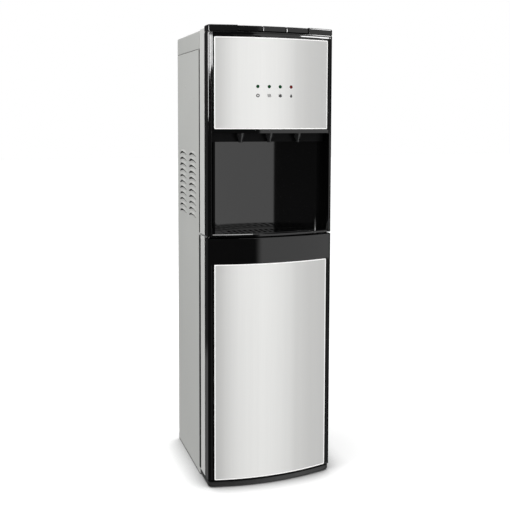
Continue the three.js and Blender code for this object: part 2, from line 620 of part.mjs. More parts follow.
// ---------------------------------------------------------------- door
function doorReturn() {
  const back = FRONT_BACK;
  const front = COLLAR_FRONT;
  const side = HALF - WALL;
  const box = block(-HALF, HALF, front, back, DOOR_BOTTOM, DOOR_TOP);
  const bay = block(-side, side, front - 1, back + 1, DOOR_BOTTOM + WALL, CAP_BOTTOM);
  const recess = block(-side, side, front - 1, back + 1, CAP_BOTTOM + WALL, DOOR_TOP + 1);
  const grip = { y0: back - 20.7, y1: back, z0: DOOR_TOP - 244.5, z1: DOOR_TOP - 154.5 };
  const cup = block(HALF - 12, HALF - 1, grip.y0 - 2.5, grip.y1 - 2, grip.z0 - 2.5, grip.z1 + 2.5);
  const pocket = block(HALF - 9.5, HALF + 1, grip.y0, grip.y1 - 4.5, grip.z0, grip.z1);
  const lip = HALF - 9;
  const frame = cut(block(-side - 1, side + 1, back - 2.5, back, DOOR_BOTTOM + 1, CAP_BOTTOM + 1),
    block(-lip, lip, back - 4, back + 1, DOOR_BOTTOM + WALL, CAP_BOTTOM - 8));
  const bosses = [
    post(8, HINGE.x, HINGE.y, CAP_BOTTOM + 1, DOOR_TOP - 1, 18),
    post(8, HINGE.x, HINGE.y, DOOR_BOTTOM + 1, DOOR_BOTTOM + 20, 18),
  ];
  const bores = [
    post(HINGE.pin + GAP, HINGE.x, HINGE.y, DOOR_TOP - 20, DOOR_TOP + 1),
    post(HINGE.pin + GAP, HINGE.x, HINGE.y, DOOR_BOTTOM - 1, DOOR_BOTTOM + 18),
  ];
  const corner = prismZ([[-HALF - 1, back + 1], [-HALF - 1, back - 3], [-HALF + 3, back + 1]],
    DOOR_BOTTOM - 1, DOOR_TOP + 1);
  return cut(join(cut(box, bay, recess), frame, cup, ...bosses), pocket, corner, ...bores);
}

function doorFrame() {
  const back = COLLAR_FRONT - GAP;
  const outer = prismZ(frontPlan(HALF, back, 0, CORNER), DOOR_BOTTOM, DOOR_TOP);
  const plan = frontPlan(HALF - WALL, back + 1, WALL + 0.4, CORNER - WALL);
  const hollow = prismZ(plan, DOOR_BOTTOM + WALL, CAP_BOTTOM);
  const recess = prismZ(plan, CAP_BOTTOM + WALL, DOOR_TOP + 1);
  const seat = bowStrip(PANEL_HALF + RECESS, -4, SKIN + 0.5, DOOR_BOTTOM + 2 - GAP, DOOR_PANEL_TOP + 2);
  return cut(outer, hollow, recess, seat);
}

function hingeUpper() {
  const z = DOOR_TOP + 1.6;
  const x0 = HINGE.x - 8;
  const x1 = HINGE.x + 13;
  const plate = block(x0, x1, HINGE.y - 10, CABINET_FRONT - 0.4, z, z + 1.5);
  const tab = block(x0, x1, CABINET_FRONT - 1.9, CABINET_FRONT - 0.4, z, z + 26);
  return join(plate, tab, post(HINGE.pin, HINGE.x, HINGE.y, DOOR_TOP - 16, z + 1));
}

function hingeLower() {
  const z = DOOR_BOTTOM - 3.2;
  const plate = block(HINGE.x - 7, HINGE.x + 15, HINGE.y - 14, HINGE.y + 18, z, z + 1.8);
  return join(plate, post(HINGE.pin, HINGE.x, HINGE.y, z + 1, DOOR_BOTTOM + 15));
}

function catchMagnet() {
  const z = DIVIDER_Z - 12 - GAP;
  const housing = block(HALF - 53, HALF - 23, CABINET_FRONT + 0.5, CABINET_FRONT + 16, z - 14, z);
  return cut(housing, block(HALF - 49, HALF - 27, CABINET_FRONT - 1, CABINET_FRONT + 1.3, z - 10, z - 4));
}

// ---------------------------------------------------------------- machine space
const TANK_FLOOR = MACHINE_FLOOR + 199.5;
const TANK_HEIGHT = HEIGHT - 66 - TANK_FLOOR; // insulated cold tank
const COMPRESSOR = { x: 28, y: 52, radius: 58 };
const COLD = { x: (1 - HALF) / 2, y: CABINET_FRONT + 95, radius: HALF / 2 - 20.5 };
const HOT = { x: (HALF + 3) / 2, y: CABINET_FRONT + 97, radius: HALF / 2 - 24.5 };
const PUMP = { x: 49 - HALF, y: CABINET_FRONT + 13 };
const PROBE = { x: 34 - HALF, y: CABINET_BACK - 35, top: DIVIDER_Z - 25.3 };
const SWITCH = { x0: HALF - 91, x1: HALF - 37, z0: HEIGHT - 92, z1: HEIGHT - 56, pivotY: CABINET_BACK - 1.5 };
const DRAIN = { x: HALF - 37, z: MACHINE_FLOOR + 23.5, radius: 8 };
const GLAND = { x: 37 - HALF, z: MACHINE_FLOOR + 23.5, radius: 9 };

function compressor() {
  const { x, y, radius } = COMPRESSOR;
  const base = MACHINE_FLOOR + 8;
  const shell = turned([[0, base], [radius - 10, base], [radius, base + 14], [radius, base + 62],
    [radius + 3, base + 64], [radius + 3, base + 70], [radius, base + 72], [radius - 3, base + 110],
    [radius - 16, base + 132], [0, base + 142]], x, y, 20);
  const plate = block(x - 66, x + 66, y - 50, y + 50, base - 2, base + 2);
  const feet = [[-56, -40], [56, -40], [-56, 40], [56, 40]].map(
    ([dx, dy]) => post(8, x + dx, y + dy, MACHINE_FLOOR + GAP, base + 6, 10));
  const terminal = block(x - 22, x + 22, y - radius - 16, y - radius + 8, base + 22, base + 56);
  return join(shell, plate, terminal, ...feet);
}

function tankShelf() {
  const half = HALF - SHEET - GAP;
  const front = CABINET_FRONT + 19;
  const back = CABINET_BACK - 30;
  const plate = block(-half, half, front, back, TANK_FLOOR - SHEET, TANK_FLOOR);
  const sides = [-1, 1].map((s) => block(Math.min(s * half, s * (half - SHEET)),
    Math.max(s * half, s * (half - SHEET)), front, back, TANK_FLOOR - 0.5, TANK_FLOOR + 14));
  return cut(join(plate, ...sides), post(10, HOT.x + 20, HOT.y + 62, TANK_FLOOR - 4, TANK_FLOOR + 3, 12));
}

function coldTank() {
  const z = TANK_FLOOR + 14;
  const { x, y, radius } = COLD;
  const top = TANK_FLOOR + TANK_HEIGHT - 10;
  return turned([[0, z], [radius - 6, z], [radius, z + 6], [radius, top - 6], [radius - 6, top],
    [6, top], [6, top + 16], [0, top + 16]], x, y, 18);
}

function coldInsulation() {
  const z = TANK_FLOOR + GAP;
  const { x, y, radius } = COLD;
  const shell = block(x - radius - 16, x + radius + 12, y - radius - 14, y + radius + 16, z, z + TANK_HEIGHT);
  const space = post(radius + GAP + 1.5, x, y, z + 13, z + TANK_HEIGHT - 6, 18);
  return cut(shell, space, post(14, x, y, z + TANK_HEIGHT - 16, z + TANK_HEIGHT + 14, 14));
}

function hotTank() {
  const z = TANK_FLOOR + GAP;
  const { x, y, radius } = HOT;
  const top = z + TANK_HEIGHT - 48;
  const tank = turned([[0, z], [radius, z], [radius, top - 8], [radius - 12, top], [7, top],
    [7, top + 18], [0, top + 18]], x, y, 18);
  const band = turned([[radius - 2, z + 30], [radius + 4, z + 30], [radius + 4, z + 64], [radius - 2, z + 64]]
    .concat([[radius - 2, z + 30]]), x, y, 18);
  return join(tank, band, block(x - 12, x + 12, y - radius - 14, y - radius + 6, z + 36, z + 58));
}

function pump() {
  const z = MACHINE_FLOOR + GAP;
  const { x, y } = PUMP;
  const motor = rodY(20, x, y, y + 42, z + 26, 18);
  const head = block(x - 24, x + 24, y + 40, y + 60, z + 4, z + 50);
  const saddle = block(x - 18, x + 18, y + 4, y + 54, z, z + 12);
  const inlet = rodY(5, x + 8, y + 58, y + 68, z + 34, 12);
  const outlet = post(5, x - 12, y + 50, z + 46, z + 62, 12);
  return join(motor, head, saddle, inlet, outlet);
}

function bottleProbe() {
  const { x, y, top } = PROBE;
  const profile = [[0, 60], [4, 60], [6.5, 66], [6.5, top - 52], [26, top - 48], [28, top - 44], [28, top - 18],
    [22, top - 12], [5, top - 10], [5, top], [0, top]];
  return turned(profile, x, y, 14);
}

function probeClip() {
  const back = CABINET_BACK - SHEET - GAP;
  const { x, y, top } = PROBE;
  const z = top - 112;
  const arm = block(x - 12, x + 12, y - 10, back - 0.5, z, z + 14);
  const seat = post(6.5 + GAP, x, y, z - 2, z + 16, 18);
  return cut(arm, seat, block(x - 5.5, x + 5.5, y - 20, y, z - 2, z + 16));
}

function probeHose() {
  const z = MACHINE_FLOOR + GAP + 34;
  const { x, y, top } = PROBE;
  const start = PUMP.x + 8;
  const face = PUMP.y + 68;
  const route = [[start, face + 2 * GAP, z], [start, face + 10, z], [start - 2, face + 30, z + 2],
    [x + 11, y - 31, z - 2], [x + 1, y - 3, z - 18], [x, y, z - 36], [x, y, top + 14], [x, y, top + 2 * GAP]];
  return sweep(smooth(route, 18), 5, 7);
}

function riserHose() {
  const z = MACHINE_FLOOR + GAP + 62;
  const top = TANK_FLOOR + TANK_HEIGHT + 6;
  const x = PUMP.x - 12;
  const y = PUMP.y + 50;
  const front = CABINET_FRONT + 10;
  const route = [[x, y, z + 2 * GAP], [x, y, z + 12], [x, y - 6, z + 26], [x - 4, front + 17, z + 66],
    [x - 6, front + 1, z + 110], [x - 6, front, TANK_FLOOR + 22], [x - 6, front, HEIGHT - 110],
    [x - 6, front + 3, HEIGHT - 60], [x + 4, front + 31, HEIGHT - 34], [COLD.x - 12, COLD.y - 18, HEIGHT - 30],
    [COLD.x, COLD.y, top + 16], [COLD.x, COLD.y, top + 8], [COLD.x, COLD.y, top + 2 * GAP]];
  return sweep(smooth(route, 30), 5, 7);
}

function hotFeedHose() {
  const top = TANK_FLOOR + GAP + TANK_HEIGHT - 30;
  const z = BAY_TOP + 9 + GAP + 19;
  const front = CABINET_FRONT + 7;
  const end = SPOUT_Y + 46 + 2 * GAP;
  const route = [[HOT.x, HOT.y, top + 2 * GAP], [HOT.x, HOT.y, top + 8], [HOT.x, HOT.y - 6, top + 20],
    [HOT.x - 16, HOT.y - 50, top + 26], [20, front + 8, top + 4], [0, front + 2, z + 60], [-40, front, z + 14],
    [-SPOUT_SPACING, end + 9.7, z], [-SPOUT_SPACING, end, z]];
  return sweep(smooth(route, 26), 4, 7);
}

function condenserTube() {
  const radius = 2.6;
  const y = REAR_REACH - WIRE_DEPTH - GAP - radius;
  const passes = 10;
  const reach = HALF - 37;
  const low = MACHINE_FLOOR + 61.5;
  const pitch = (HEIGHT - 122 - low) / (passes - 1);
  const points = [];
  for (let i = 0; i < passes; i += 1) {
    const side = i % 2 ? -1 : 1;
    const z = low + i * pitch;
    points.push([-side * reach, y, z], [side * reach, y, z]);
    if (i < passes - 1) {
      for (let k = 1; k < 6; k += 1) {
        const angle = -Math.PI / 2 + (Math.PI * k) / 6;
        points.push([side * (reach + (Math.cos(angle) * pitch) / 2), y, z + pitch / 2 + (Math.sin(angle) * pitch) / 2]);
      }
    }
  }
  return sweep(points, radius, 6);
}

function condenserGrid() {
  const face = REAR_REACH;
  const low = MACHINE_FLOOR + 43.5;
  const high = HEIGHT - 92;
  const reach = HALF - 31;
  const rail = (z) => block(-reach, reach, face - 5, face - 3, z, z + 5);
  let grid = join(rail(low + 6), rail(high - 10));
  for (let i = 0; i < 15; i += 1) {
    const x = ((i - 7) * (reach - 6)) / 7;
    grid = join(grid, block(x - 0.9, x + 0.9, face - WIRE_DEPTH, face, low, high));
  }
  for (const x of [-reach, reach - 6]) {
    for (const z of [low + 4, high - 12]) {
      grid = join(grid, block(x, x + 6, CABINET_BACK + GAP, face - 3, z, z + 9));
    }
  }
  return grid;
}

function switchHousing() {
  const { x0, x1, z0, z1, pivotY } = SWITCH;
  const shell = join(block(x0, x1, pivotY - 10.5, pivotY + 1.5, z0, z1),
    block(x0 - 3, x1 + 3, pivotY + 0.9, pivotY + 3.1, z0 - 3, z1 + 3));
  const windows = ROCKER_X.map((x) => block(x - 8, x + 8, pivotY - 7, pivotY + 11, ROCKER_Z - 12.6, ROCKER_Z + 12.6));
  return cut(shell, ...windows);
}

const ROCKER_X = [SWITCH.x0 + 14, SWITCH.x0 + 40];
const ROCKER_Z = (SWITCH.z0 + SWITCH.z1) / 2;

function rocker(x) {
  const outline = [[-4, -6], [2.6, -10.4], [4.6, 0], [6.3, 10.4], [-4, 6]];
  return prismX(outline.map(([y, z]) => [SWITCH.pivotY + y, ROCKER_Z + z]), x - 7.5, x + 7.5);
}

function drainSpout() {
  const { x, z, radius } = DRAIN;
  const y = CABINET_BACK;
  return turnedY([[0, y - 18], [radius, y - 18], [radius, y + 0.2], [11, y + 0.2], [11, y + 2], [6.5, y + 2],
    [6.5, y + 10], [0, y + 10]], x, z, 16);
}

function drainCap() {
  const { x, z } = DRAIN;
  const y = CABINET_BACK + 2.4;
  let cap = turnedY([[0, y + 8], [6.9, y + 8], [6.9, y], [10, y], [10, y + 11], [9, y + 12], [0, y + 12]],
    x, z, 16);
  for (let i = 0; i < 4; i += 1) {
    const angle = (i * Math.PI) / 4;
    const dx = Math.cos(angle) * 10.2;
    const dz = Math.sin(angle) * 10.2;
    cap = cut(cap, rodY(1.2, x + dx, y + 1.1, y + 14, z + dz, 6), rodY(1.2, x - dx, y + 1.1, y + 14, z - dz, 6));
  }
  return cap;
}

function gland() {
  const { x, z, radius } = GLAND;
  const y = CABINET_BACK;
  return turnedY([[3.2, y - 12], [radius, y - 12], [radius, y], [12, y], [12, y + 4], [8, y + 6], [7, y + 13],
    [3.2, y + 13], [3.2, y - 12]], x, z, 16);
}

// ---------------------------------------------------------------- assembly
add('base_pan', basePan(), 'blackMatt');
['front_left', 'front_right', 'rear_left', 'rear_right'].forEach((place, i) => {
  add(`foot_${place}`, foot(FEET[i]), 'rubber');
});
add('side_panel_left', sidePanel(-1), 'steelPaint');
add('side_panel_right', sidePanel(1), 'steelPaint');
add('divider_shelf', dividerShelf(), 'zinc');
add('back_panel_lower', lowerBack(), 'zinc');
add('back_panel_upper', upperBack(), 'zinc');
add('top_cover', topCover(), 'silver');
add('upper_collar', upperCollar(), 'silver');
add('bezel', bezel(), 'black');
add('control_fascia', fascia(), 'steel');
['power', 'heating', 'cooling', 'empty'].forEach((name, i) => {
  add(`led_${name}`, ledLens(LED.x[i]), i === 3 ? 'red' : 'green');
});
add('bay_shell', bayShell(), 'black');
add('spout_beam', spoutBeam(), 'blackMatt');
['hot', 'room', 'cold'].forEach((name, i) => {
  add(`spout_${name}`, spout(SPOUT_X[i]), 'grey');
  add(`valve_${name}`, valve(SPOUT_X[i]), 'white');
});
add('drip_tray', dripTray(), 'black');
add('drip_grille', dripGrille(), 'blackMatt');
add('key_deck', keyDeck(), 'black');
add('key_hot', hotKey(), 'black');
add('key_room', key(KEY_BOUNDS[1]), 'black');
add('key_cold', key(KEY_BOUNDS[2]), 'black');
add('child_lock', childLock(), 'red');
add('key_rod', rodX(ROD_RADIUS, -KEY_SPAN - 2, KEY_SPAN + 2, KEY_AXIS.y, KEY_AXIS.z), 'zinc');
add('key_switch_board', switchBoard(), 'board');
add('control_board', controlBoard(), 'board');
add('door_frame', doorFrame(), 'black');
add('door_return', doorReturn(), 'silver');
add('door_skin', frontSkin(DOOR_BOTTOM + 2, DOOR_PANEL_TOP), 'steel');
add('hinge_upper', hingeUpper(), 'zinc');
add('hinge_lower', hingeLower(), 'zinc');
add('catch_magnet', catchMagnet(), 'blackMatt');
add('compressor', compressor(), 'blackMatt');
add('tank_shelf', tankShelf(), 'zinc');
add('cold_tank', coldTank(), 'steel');
add('cold_insulation', coldInsulation(), 'foam');
add('hot_tank', hotTank(), 'steel');
add('pump', pump(), 'white');
add('bottle_probe', bottleProbe(), 'white');
add('probe_hose', probeHose(), 'hose');
add('riser_hose', riserHose(), 'hose');
add('hot_feed_hose', hotFeedHose(), 'hose');
add('condenser_tube', condenserTube(), 'blackMatt');
add('condenser_grid', condenserGrid(), 'blackMatt');
add('switch_housing', switchHousing(), 'blackMatt');
add('rocker_hot', rocker(ROCKER_X[0]), 'red');
add('rocker_cold', rocker(ROCKER_X[1]), 'green');
add('drain_spout', drainSpout(), 'white');
add('drain_cap', drainCap(), 'white');
add('power_gland', gland(), 'blackMatt');

export default root;
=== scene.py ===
"""Dresses the bottom load water cooler: finer mouldings, materials, studio and camera. Sizes in mm."""

import json
import math

import bmesh
import bpy
from mathutils import Matrix, Vector


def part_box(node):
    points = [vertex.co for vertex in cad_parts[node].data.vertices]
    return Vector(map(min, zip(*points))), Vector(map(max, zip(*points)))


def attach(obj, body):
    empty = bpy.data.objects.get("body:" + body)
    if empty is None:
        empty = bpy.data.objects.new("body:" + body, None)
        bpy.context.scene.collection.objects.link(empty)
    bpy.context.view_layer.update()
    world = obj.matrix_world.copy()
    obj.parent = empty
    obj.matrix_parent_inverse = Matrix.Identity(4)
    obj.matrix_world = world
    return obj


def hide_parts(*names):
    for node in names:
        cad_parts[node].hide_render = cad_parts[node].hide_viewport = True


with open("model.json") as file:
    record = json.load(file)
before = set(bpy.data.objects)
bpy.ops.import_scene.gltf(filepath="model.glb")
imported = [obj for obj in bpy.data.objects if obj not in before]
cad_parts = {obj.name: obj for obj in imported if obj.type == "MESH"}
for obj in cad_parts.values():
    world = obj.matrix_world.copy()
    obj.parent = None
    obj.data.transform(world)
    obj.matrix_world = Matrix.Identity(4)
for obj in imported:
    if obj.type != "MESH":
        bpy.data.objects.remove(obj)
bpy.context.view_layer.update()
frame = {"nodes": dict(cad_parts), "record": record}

MM = 0.001
LOW, HIGH = 0, 1
X, Y, Z = 0, 1, 2


def ends_of(node, axis):
    """Both ends of a CAD node's box along one axis, in mm."""
    low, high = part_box(node)
    return low[axis] / MM, high[axis] / MM


def middle_of(node, axis):
    return sum(ends_of(node, axis)) / 2


# ------ sizes from the frame
HALF = ends_of("upper_collar", X)[HIGH]
FRONT = -ends_of("bezel", Y)[LOW]
HEIGHT = ends_of("key_deck", Z)[HIGH]
COLLAR_FRONT, FRONT_BACK = ends_of("upper_collar", Y)
COLLAR_TOP = ends_of("upper_collar", Z)[HIGH]
CABINET_FRONT, CABINET_BACK = ends_of("side_panel_left", Y)
SIDE_TOP = ends_of("side_panel_left", Z)[HIGH]
COVER_TOP = ends_of("top_cover", Z)[HIGH]
UPPER_BOTTOM, BEZEL_TOP = ends_of("bezel", Z)
FASCIA_BOTTOM, FASCIA_TOP = ends_of("control_fascia", Z)
PANEL_HALF = ends_of("control_fascia", X)[HIGH]
DOOR_BOTTOM, DOOR_TOP = ends_of("door_frame", Z)
DOOR_PANEL_TOP = ends_of("door_skin", Z)[HIGH]
KEY_TOP = ends_of("key_room", Z)[HIGH]
TRAY_LOW, RIM_TOP = ends_of("drip_tray", Z)
SPOUTS = ("spout_hot", "spout_room", "spout_cold")
SPOUT_X = [middle_of(spout, X) for spout in SPOUTS]
SPOUT_Y = middle_of("spout_hot", Y)
SPOUT_TIP = ends_of("spout_hot", Z)[LOW]
LEDS = ("led_power", "led_heating", "led_cooling", "led_empty")
LED_Z = middle_of("led_power", Z)
PLINTH_BOTTOM = ends_of("base_pan", Z)[LOW]
FEET = ("foot_front_left", "foot_front_right", "foot_rear_left", "foot_rear_right")

# ------ sizes the frame doesn't give
SIDES = ((-1, "left"), (1, "right"))
BOW_DEPTH = 21.5
BOW_RADIUS = (HALF * HALF + BOW_DEPTH * BOW_DEPTH) / (2 * BOW_DEPTH)
BOW_CENTRE = BOW_RADIUS - FRONT
BOW_STEPS = 56
FRONT_CORNER = 5.0
INNER_CORNER = 9.0
WALL = 3.0
SKIN = 1.2
GAP = 0.3
RECESS = 3.2
MOULDING_BACK = COLLAR_FRONT - GAP
# Where tools that cut through the front begin.
BEFORE = -FRONT - 15

# Cross-sections of the front: distance from its edge, and depth behind the bow there.
STILE_PROFILE = (
    (0, 3.4), (0.4, 2.5), (1.0, 1.85), (1.8, 1.4), (2.6, 1.22), (3.4, 1.15), (3.7, 1.08), (5.8, 0.14),
    (6.1, 0.04), (6.5, 0), (7.0, 0), (7.3, 0.3), (7.6, 0.85), (7.9, 0.95), (8.1, 0.9), (9.6, 0.22),
    (9.9, 0.15), (10.6, 0.15),
)
CORNER_PROFILE = ((0, 3.2), (0.4, 2.3), (1.0, 1.6), (1.8, 1.0), (2.6, 0.6), (3.4, 0.3), (4.2, 0.1), (5.0, 0))
TOP_PROFILE = (
    (0, 0.8), (0.15, 0.45), (0.4, 0.2), (0.8, 0.1), (1.4, 0.25), (1.8, 0.85), (2.1, 0.9), (4.5, 0.15),
    (4.9, 0), (5.5, 0), (5.9, 0.35), (6.2, 0.42), (6.4, 0.38), (7.2, 0.1),
)
DOOR_EDGE_PROFILE = ((0, 1.4), (0.2, 0.85), (0.5, 0.45), (0.9, 0.15), (1.4, 0))

TRIM = 2.4
SHEET_LIFT, TRIM_LIFT = 0.1, 0.05
LENS_RADIUS, LENS_HEIGHT, LENS_STALK = 3.7, 1.1, 2.7
SIGN_DROP = 20.0
INK_TOP, INK_BOTTOM = 0.02, 0.09

COVER_SEAM = SIDE_TOP + 1.2
TONGUE_X = HALF - 1.8
# Widths of the black strips of painted shade in the seams beside the side panels, above and below.
UPPER_SEAM_SHADE, LOWER_SEAM_SHADE = 5.3, 6.8
LOUVRE_ROWS, LOUVRE_PITCH, LOUVRE_HALF, LOUVRE_ARCH = 11, 14.5, 36.0, 8.0
LOUVRE_COLUMNS = (-6.5, 90.5)
LOUVRE_LOW = UPPER_BOTTOM + 30.5
# How far the painted shade reaches below each louvre's lip.
LOUVRE_SHADE_DEPTH = 4.8
PLUG_PLACES = ((64, 921), (64, 894), (-23.5, 892))

BAY_TOP = FASCIA_BOTTOM - 9
BAY_HALF = HALF - 8.5
BAY_BACK = FRONT_BACK - 1.2
BAY_CHAMFER = 1.4
BAY_WALL_RADIUS = 420.0
BAY_LOW_BLEND, BAY_HIGH_BLEND = BAY_TOP - 2, BAY_TOP + 10
SPOUT_HOLE = 7.4
TRAY_HALF = BAY_HALF - 36.5
RIM_BOTTOM = RIM_TOP - 3
RIM_CHAMFER = 1.4
GRILLE_SLOTS, SLOT_HALF = 15, 3.4

KEYS = ("key_hot", "key_room", "key_cold")
KEY_SPAN = HALF - 64.7
KEY_BOUNDS = [(-KEY_SPAN, -KEY_SPAN / 3), (-KEY_SPAN / 3, KEY_SPAN / 3), (KEY_SPAN / 3, KEY_SPAN)]
KEY_MIDDLES = [(left + right) / 2 for left, right in KEY_BOUNDS]
KEY_CHAMFER = 1.6
KEY_CLEAR = 0.9
KEY_SETBACK = 1.6
KEY_WELL = 10.0
KEY_BOTTOM = BEZEL_TOP + 4.6
DECK_BOTTOM = BEZEL_TOP + GAP
KEY_AXIS = (COLLAR_FRONT - 7.2, HEIGHT - 10)
KEY_PIVOT, KEY_BARREL = 2.3, 4.2
LOCK_TRAVEL = 5.0
STEM_Y = 25 - FRONT
STEM_HALF = 4.0
PIT_BOTTOM = HEIGHT - 28
PIT_WALL = 2.4

CAP_BOTTOM = DOOR_TOP - 29.5
DOOR_PANEL_BOTTOM = DOOR_BOTTOM + 2
PLINTH_TOP = DOOR_BOTTOM - 3.5
PLINTH_ROUND = 4.0
RIB_X = (-89.4, -29.8, 29.8, 89.4)
RAIL_X = (-70, 70)
FOOT_SEAT = 3.0

# ------ camera
CAMERA_PLACE = (-0.59706, -1.86866, 0.8463)
YAW, PITCH, ROLL = math.radians(19.66), math.radians(4.11), math.radians(0.27)
PHOTO_SIDE = 510
FOCAL_PIXELS = 797.19
CENTRE_PIXEL_X, CENTRE_PIXEL_Y = 277.85, 174.75
SENSOR_WIDTH = 36.0


def make_camera():
    """Stands where the photograph was taken from: front left, a little below the top."""
    forward = Vector((math.sin(YAW) * math.cos(PITCH), math.cos(YAW) * math.cos(PITCH), -math.sin(PITCH)))
    right = Vector((math.cos(YAW), -math.sin(YAW), 0.0))
    up = right.cross(forward)
    turned_right = right * math.cos(ROLL) + up * math.sin(ROLL)
    turned_up = up * math.cos(ROLL) - right * math.sin(ROLL)
    data = bpy.data.cameras.new("camera")
    data.sensor_width = SENSOR_WIDTH
    data.lens = FOCAL_PIXELS / PHOTO_SIDE * SENSOR_WIDTH
    data.shift_x = (PHOTO_SIDE / 2 - CENTRE_PIXEL_X) / PHOTO_SIDE
    data.shift_y = (CENTRE_PIXEL_Y - PHOTO_SIDE / 2) / PHOTO_SIDE
    data.clip_start = 0.05
    data.clip_end = 60.0
    camera = bpy.data.objects.new("camera", data)
    axes = Matrix((turned_right, turned_up, -forward)).transposed()
    camera.matrix_world = Matrix.Translation(CAMERA_PLACE) @ axes.to_4x4()
    bpy.context.collection.objects.link(camera)
    bpy.context.scene.camera = camera


# ------ nodes
def node_of(tree, kind, **values):
    """New node; in_ sets a named input socket, anything else a property."""
    node = tree.nodes.new(kind)
    for key, value in values.items():
        if key.startswith("in_"):
            node.inputs[key[3:].replace("_", " ")].default_value = value
        else:
            setattr(node, key, value)
    return node


def feed(tree, source, socket):
    """Sets a number on the socket, or links another node's output to it."""
    if isinstance(source, (int, float)):
        socket.default_value = source
    else:
        tree.links.new(source, socket)


def choose(tree, share, first, second):
    """The first value at share 0, the second at share 1."""
    mix = node_of(tree, "ShaderNodeMix", data_type="FLOAT")
    for place, source in ((0, share), (2, first), (3, second)):
        feed(tree, source, mix.inputs[place])
    return mix.outputs[0]


def maths(tree, operation, first, second):
    node = node_of(tree, "ShaderNodeMath", operation=operation)
    feed(tree, first, node.inputs[0])
    feed(tree, second, node.inputs[1])
    return node.outputs[0]


def smooth_step(tree, value, start, end, low=0.0, high=1.0):
    """Goes softly from low at start to high at end."""
    node = node_of(tree, "ShaderNodeMapRange", interpolation_type="SMOOTHSTEP", in_From_Min=start,
                   in_From_Max=end, in_To_Min=low, in_To_Max=high)
    tree.links.new(value, node.inputs["Value"])
    return node.outputs["Result"]


def ramp_of(tree, source, *stops):
    """Colour ramp; each stop is a position and a colour."""
    ramp = node_of(tree, "ShaderNodeValToRGB")
    elements = ramp.color_ramp.elements
    while len(elements) < len(stops):
        elements.new(0.5)
    for element, (place, color) in zip(elements, stops):
        element.position = place
        element.color = (*color, 1)
    tree.links.new(source, ramp.inputs["Fac"])
    return ramp.outputs["Color"]


def mapped_noise(tree, where, scale, detail):
    """Noise of one scale, or of one for each axis."""
    mapping = node_of(tree, "ShaderNodeMapping")
    mapping.inputs["Scale"].default_value = scale if isinstance(scale, tuple) else (scale,) * 3
    tree.links.new(where.outputs["Object"], mapping.inputs["Vector"])
    noise = node_of(tree, "ShaderNodeTexNoise", in_Scale=1.0, in_Detail=detail, in_Roughness=0.6)
    tree.links.new(mapping.outputs["Vector"], noise.inputs["Vector"])
    return noise.outputs["Fac"]


# ------ materials
def new_shader(name, metal=0.0, ior=1.5, aniso=0.0):
    material = bpy.data.materials.new(name)
    material.use_nodes = True
    tree = material.node_tree
    shader = tree.nodes["Principled BSDF"]
    shader.inputs["Metallic"].default_value = metal
    shader.inputs["IOR"].default_value = ior
    shader.inputs["Anisotropic"].default_value = aniso
    return material, tree, shader


def rough_by(tree, shader, source, rough, spread):
    low, high = max(0.02, rough - spread / 2), rough + spread / 2
    span = node_of(tree, "ShaderNodeMapRange", in_To_Min=low, in_To_Max=high)
    tree.links.new(source, span.inputs["Value"])
    tree.links.new(span.outputs["Result"], shader.inputs["Roughness"])


def relief_by(tree, shader, source, strength, distance):
    relief = node_of(tree, "ShaderNodeBump", in_Strength=strength, in_Distance=distance)
    tree.links.new(source, relief.inputs["Height"])
    tree.links.new(relief.outputs["Normal"], shader.inputs["Normal"])


def moulded(name, base, rough, grain=60, fine=900, bump=0.05, tint=0.1, metal=0.0, rough_spread=0.08,
            ior=1.5, distance=0.0002):
    """Broad colour variation, roughness breakup and a fine relief, stretched along the grain."""
    material, tree, shader = new_shader(name, metal, ior)
    where = node_of(tree, "ShaderNodeTexCoord")
    broad = mapped_noise(tree, where, grain, 5.0)
    low = [c * (1 - tint) for c in base]
    high = [min(1.0, c * (1 + tint)) for c in base]
    tree.links.new(ramp_of(tree, broad, (0.3, low), (0.7, high)), shader.inputs["Base Color"])
    rough_by(tree, shader, broad, rough, rough_spread)
    relief_by(tree, shader, mapped_noise(tree, where, fine, 2.0), bump, distance)
    return material


# Painted highlight: brightness of the steel panels' colour from their left edge, 0, to their right edge, 1.
PAINTED_HIGHLIGHT = (
    (0.0, 0.49), (0.06, 0.55), (0.13, 0.65), (0.2, 0.715), (0.27, 0.735), (0.41, 0.745), (0.55, 0.695),
    (0.63, 0.645), (0.7, 0.58), (0.77, 0.545), (0.84, 0.518), (1.0, 0.515),
)
PAINTED_HIGHLIGHT_BLUE = 0.985


# Painted highlight: the panels' colour is brighter in a broad band across their width, standing in for a
# reflection.
def painted_highlight_band(tree, where):
    split = node_of(tree, "ShaderNodeSeparateXYZ")
    tree.links.new(where.outputs["Object"], split.inputs[0])
    across = node_of(tree, "ShaderNodeMapRange", in_From_Min=-PANEL_HALF * MM, in_From_Max=PANEL_HALF * MM)
    tree.links.new(split.outputs["X"], across.inputs["Value"])
    return ramp_of(tree, across.outputs["Result"], *[(place, (v, v, v * PAINTED_HIGHLIGHT_BLUE)) for place, v in PAINTED_HIGHLIGHT])


def brushed_steel(name):
    """Satin sheet brushed upright: hair lines, soft streaks and a broad painted highlight across the width.
    """
    material, tree, shader = new_shader(name, 0.18, aniso=0.4)
    where = node_of(tree, "ShaderNodeTexCoord")
    hair = mapped_noise(tree, where, (2600, 2600, 9), 3.0)
    streak = mapped_noise(tree, where, (60, 60, 0.5), 2.0)
    marks = choose(tree, 0.4, hair, streak)
    lines = ramp_of(tree, marks, (0.3, (0.93, 0.93, 0.93)), (0.7, (1.0, 1.0, 0.995)))
    both = node_of(tree, "ShaderNodeMix", data_type="RGBA", blend_type="MULTIPLY")
    both.inputs[0].default_value = 1.0
    tree.links.new(painted_highlight_band(tree, where), both.inputs[6])
    tree.links.new(lines, both.inputs[7])
    tree.links.new(both.outputs[2], shader.inputs["Base Color"])
    rough_by(tree, shader, hair, 0.5, 0.12)
    relief_by(tree, shader, hair, 0.12, 0.00005)
    return material


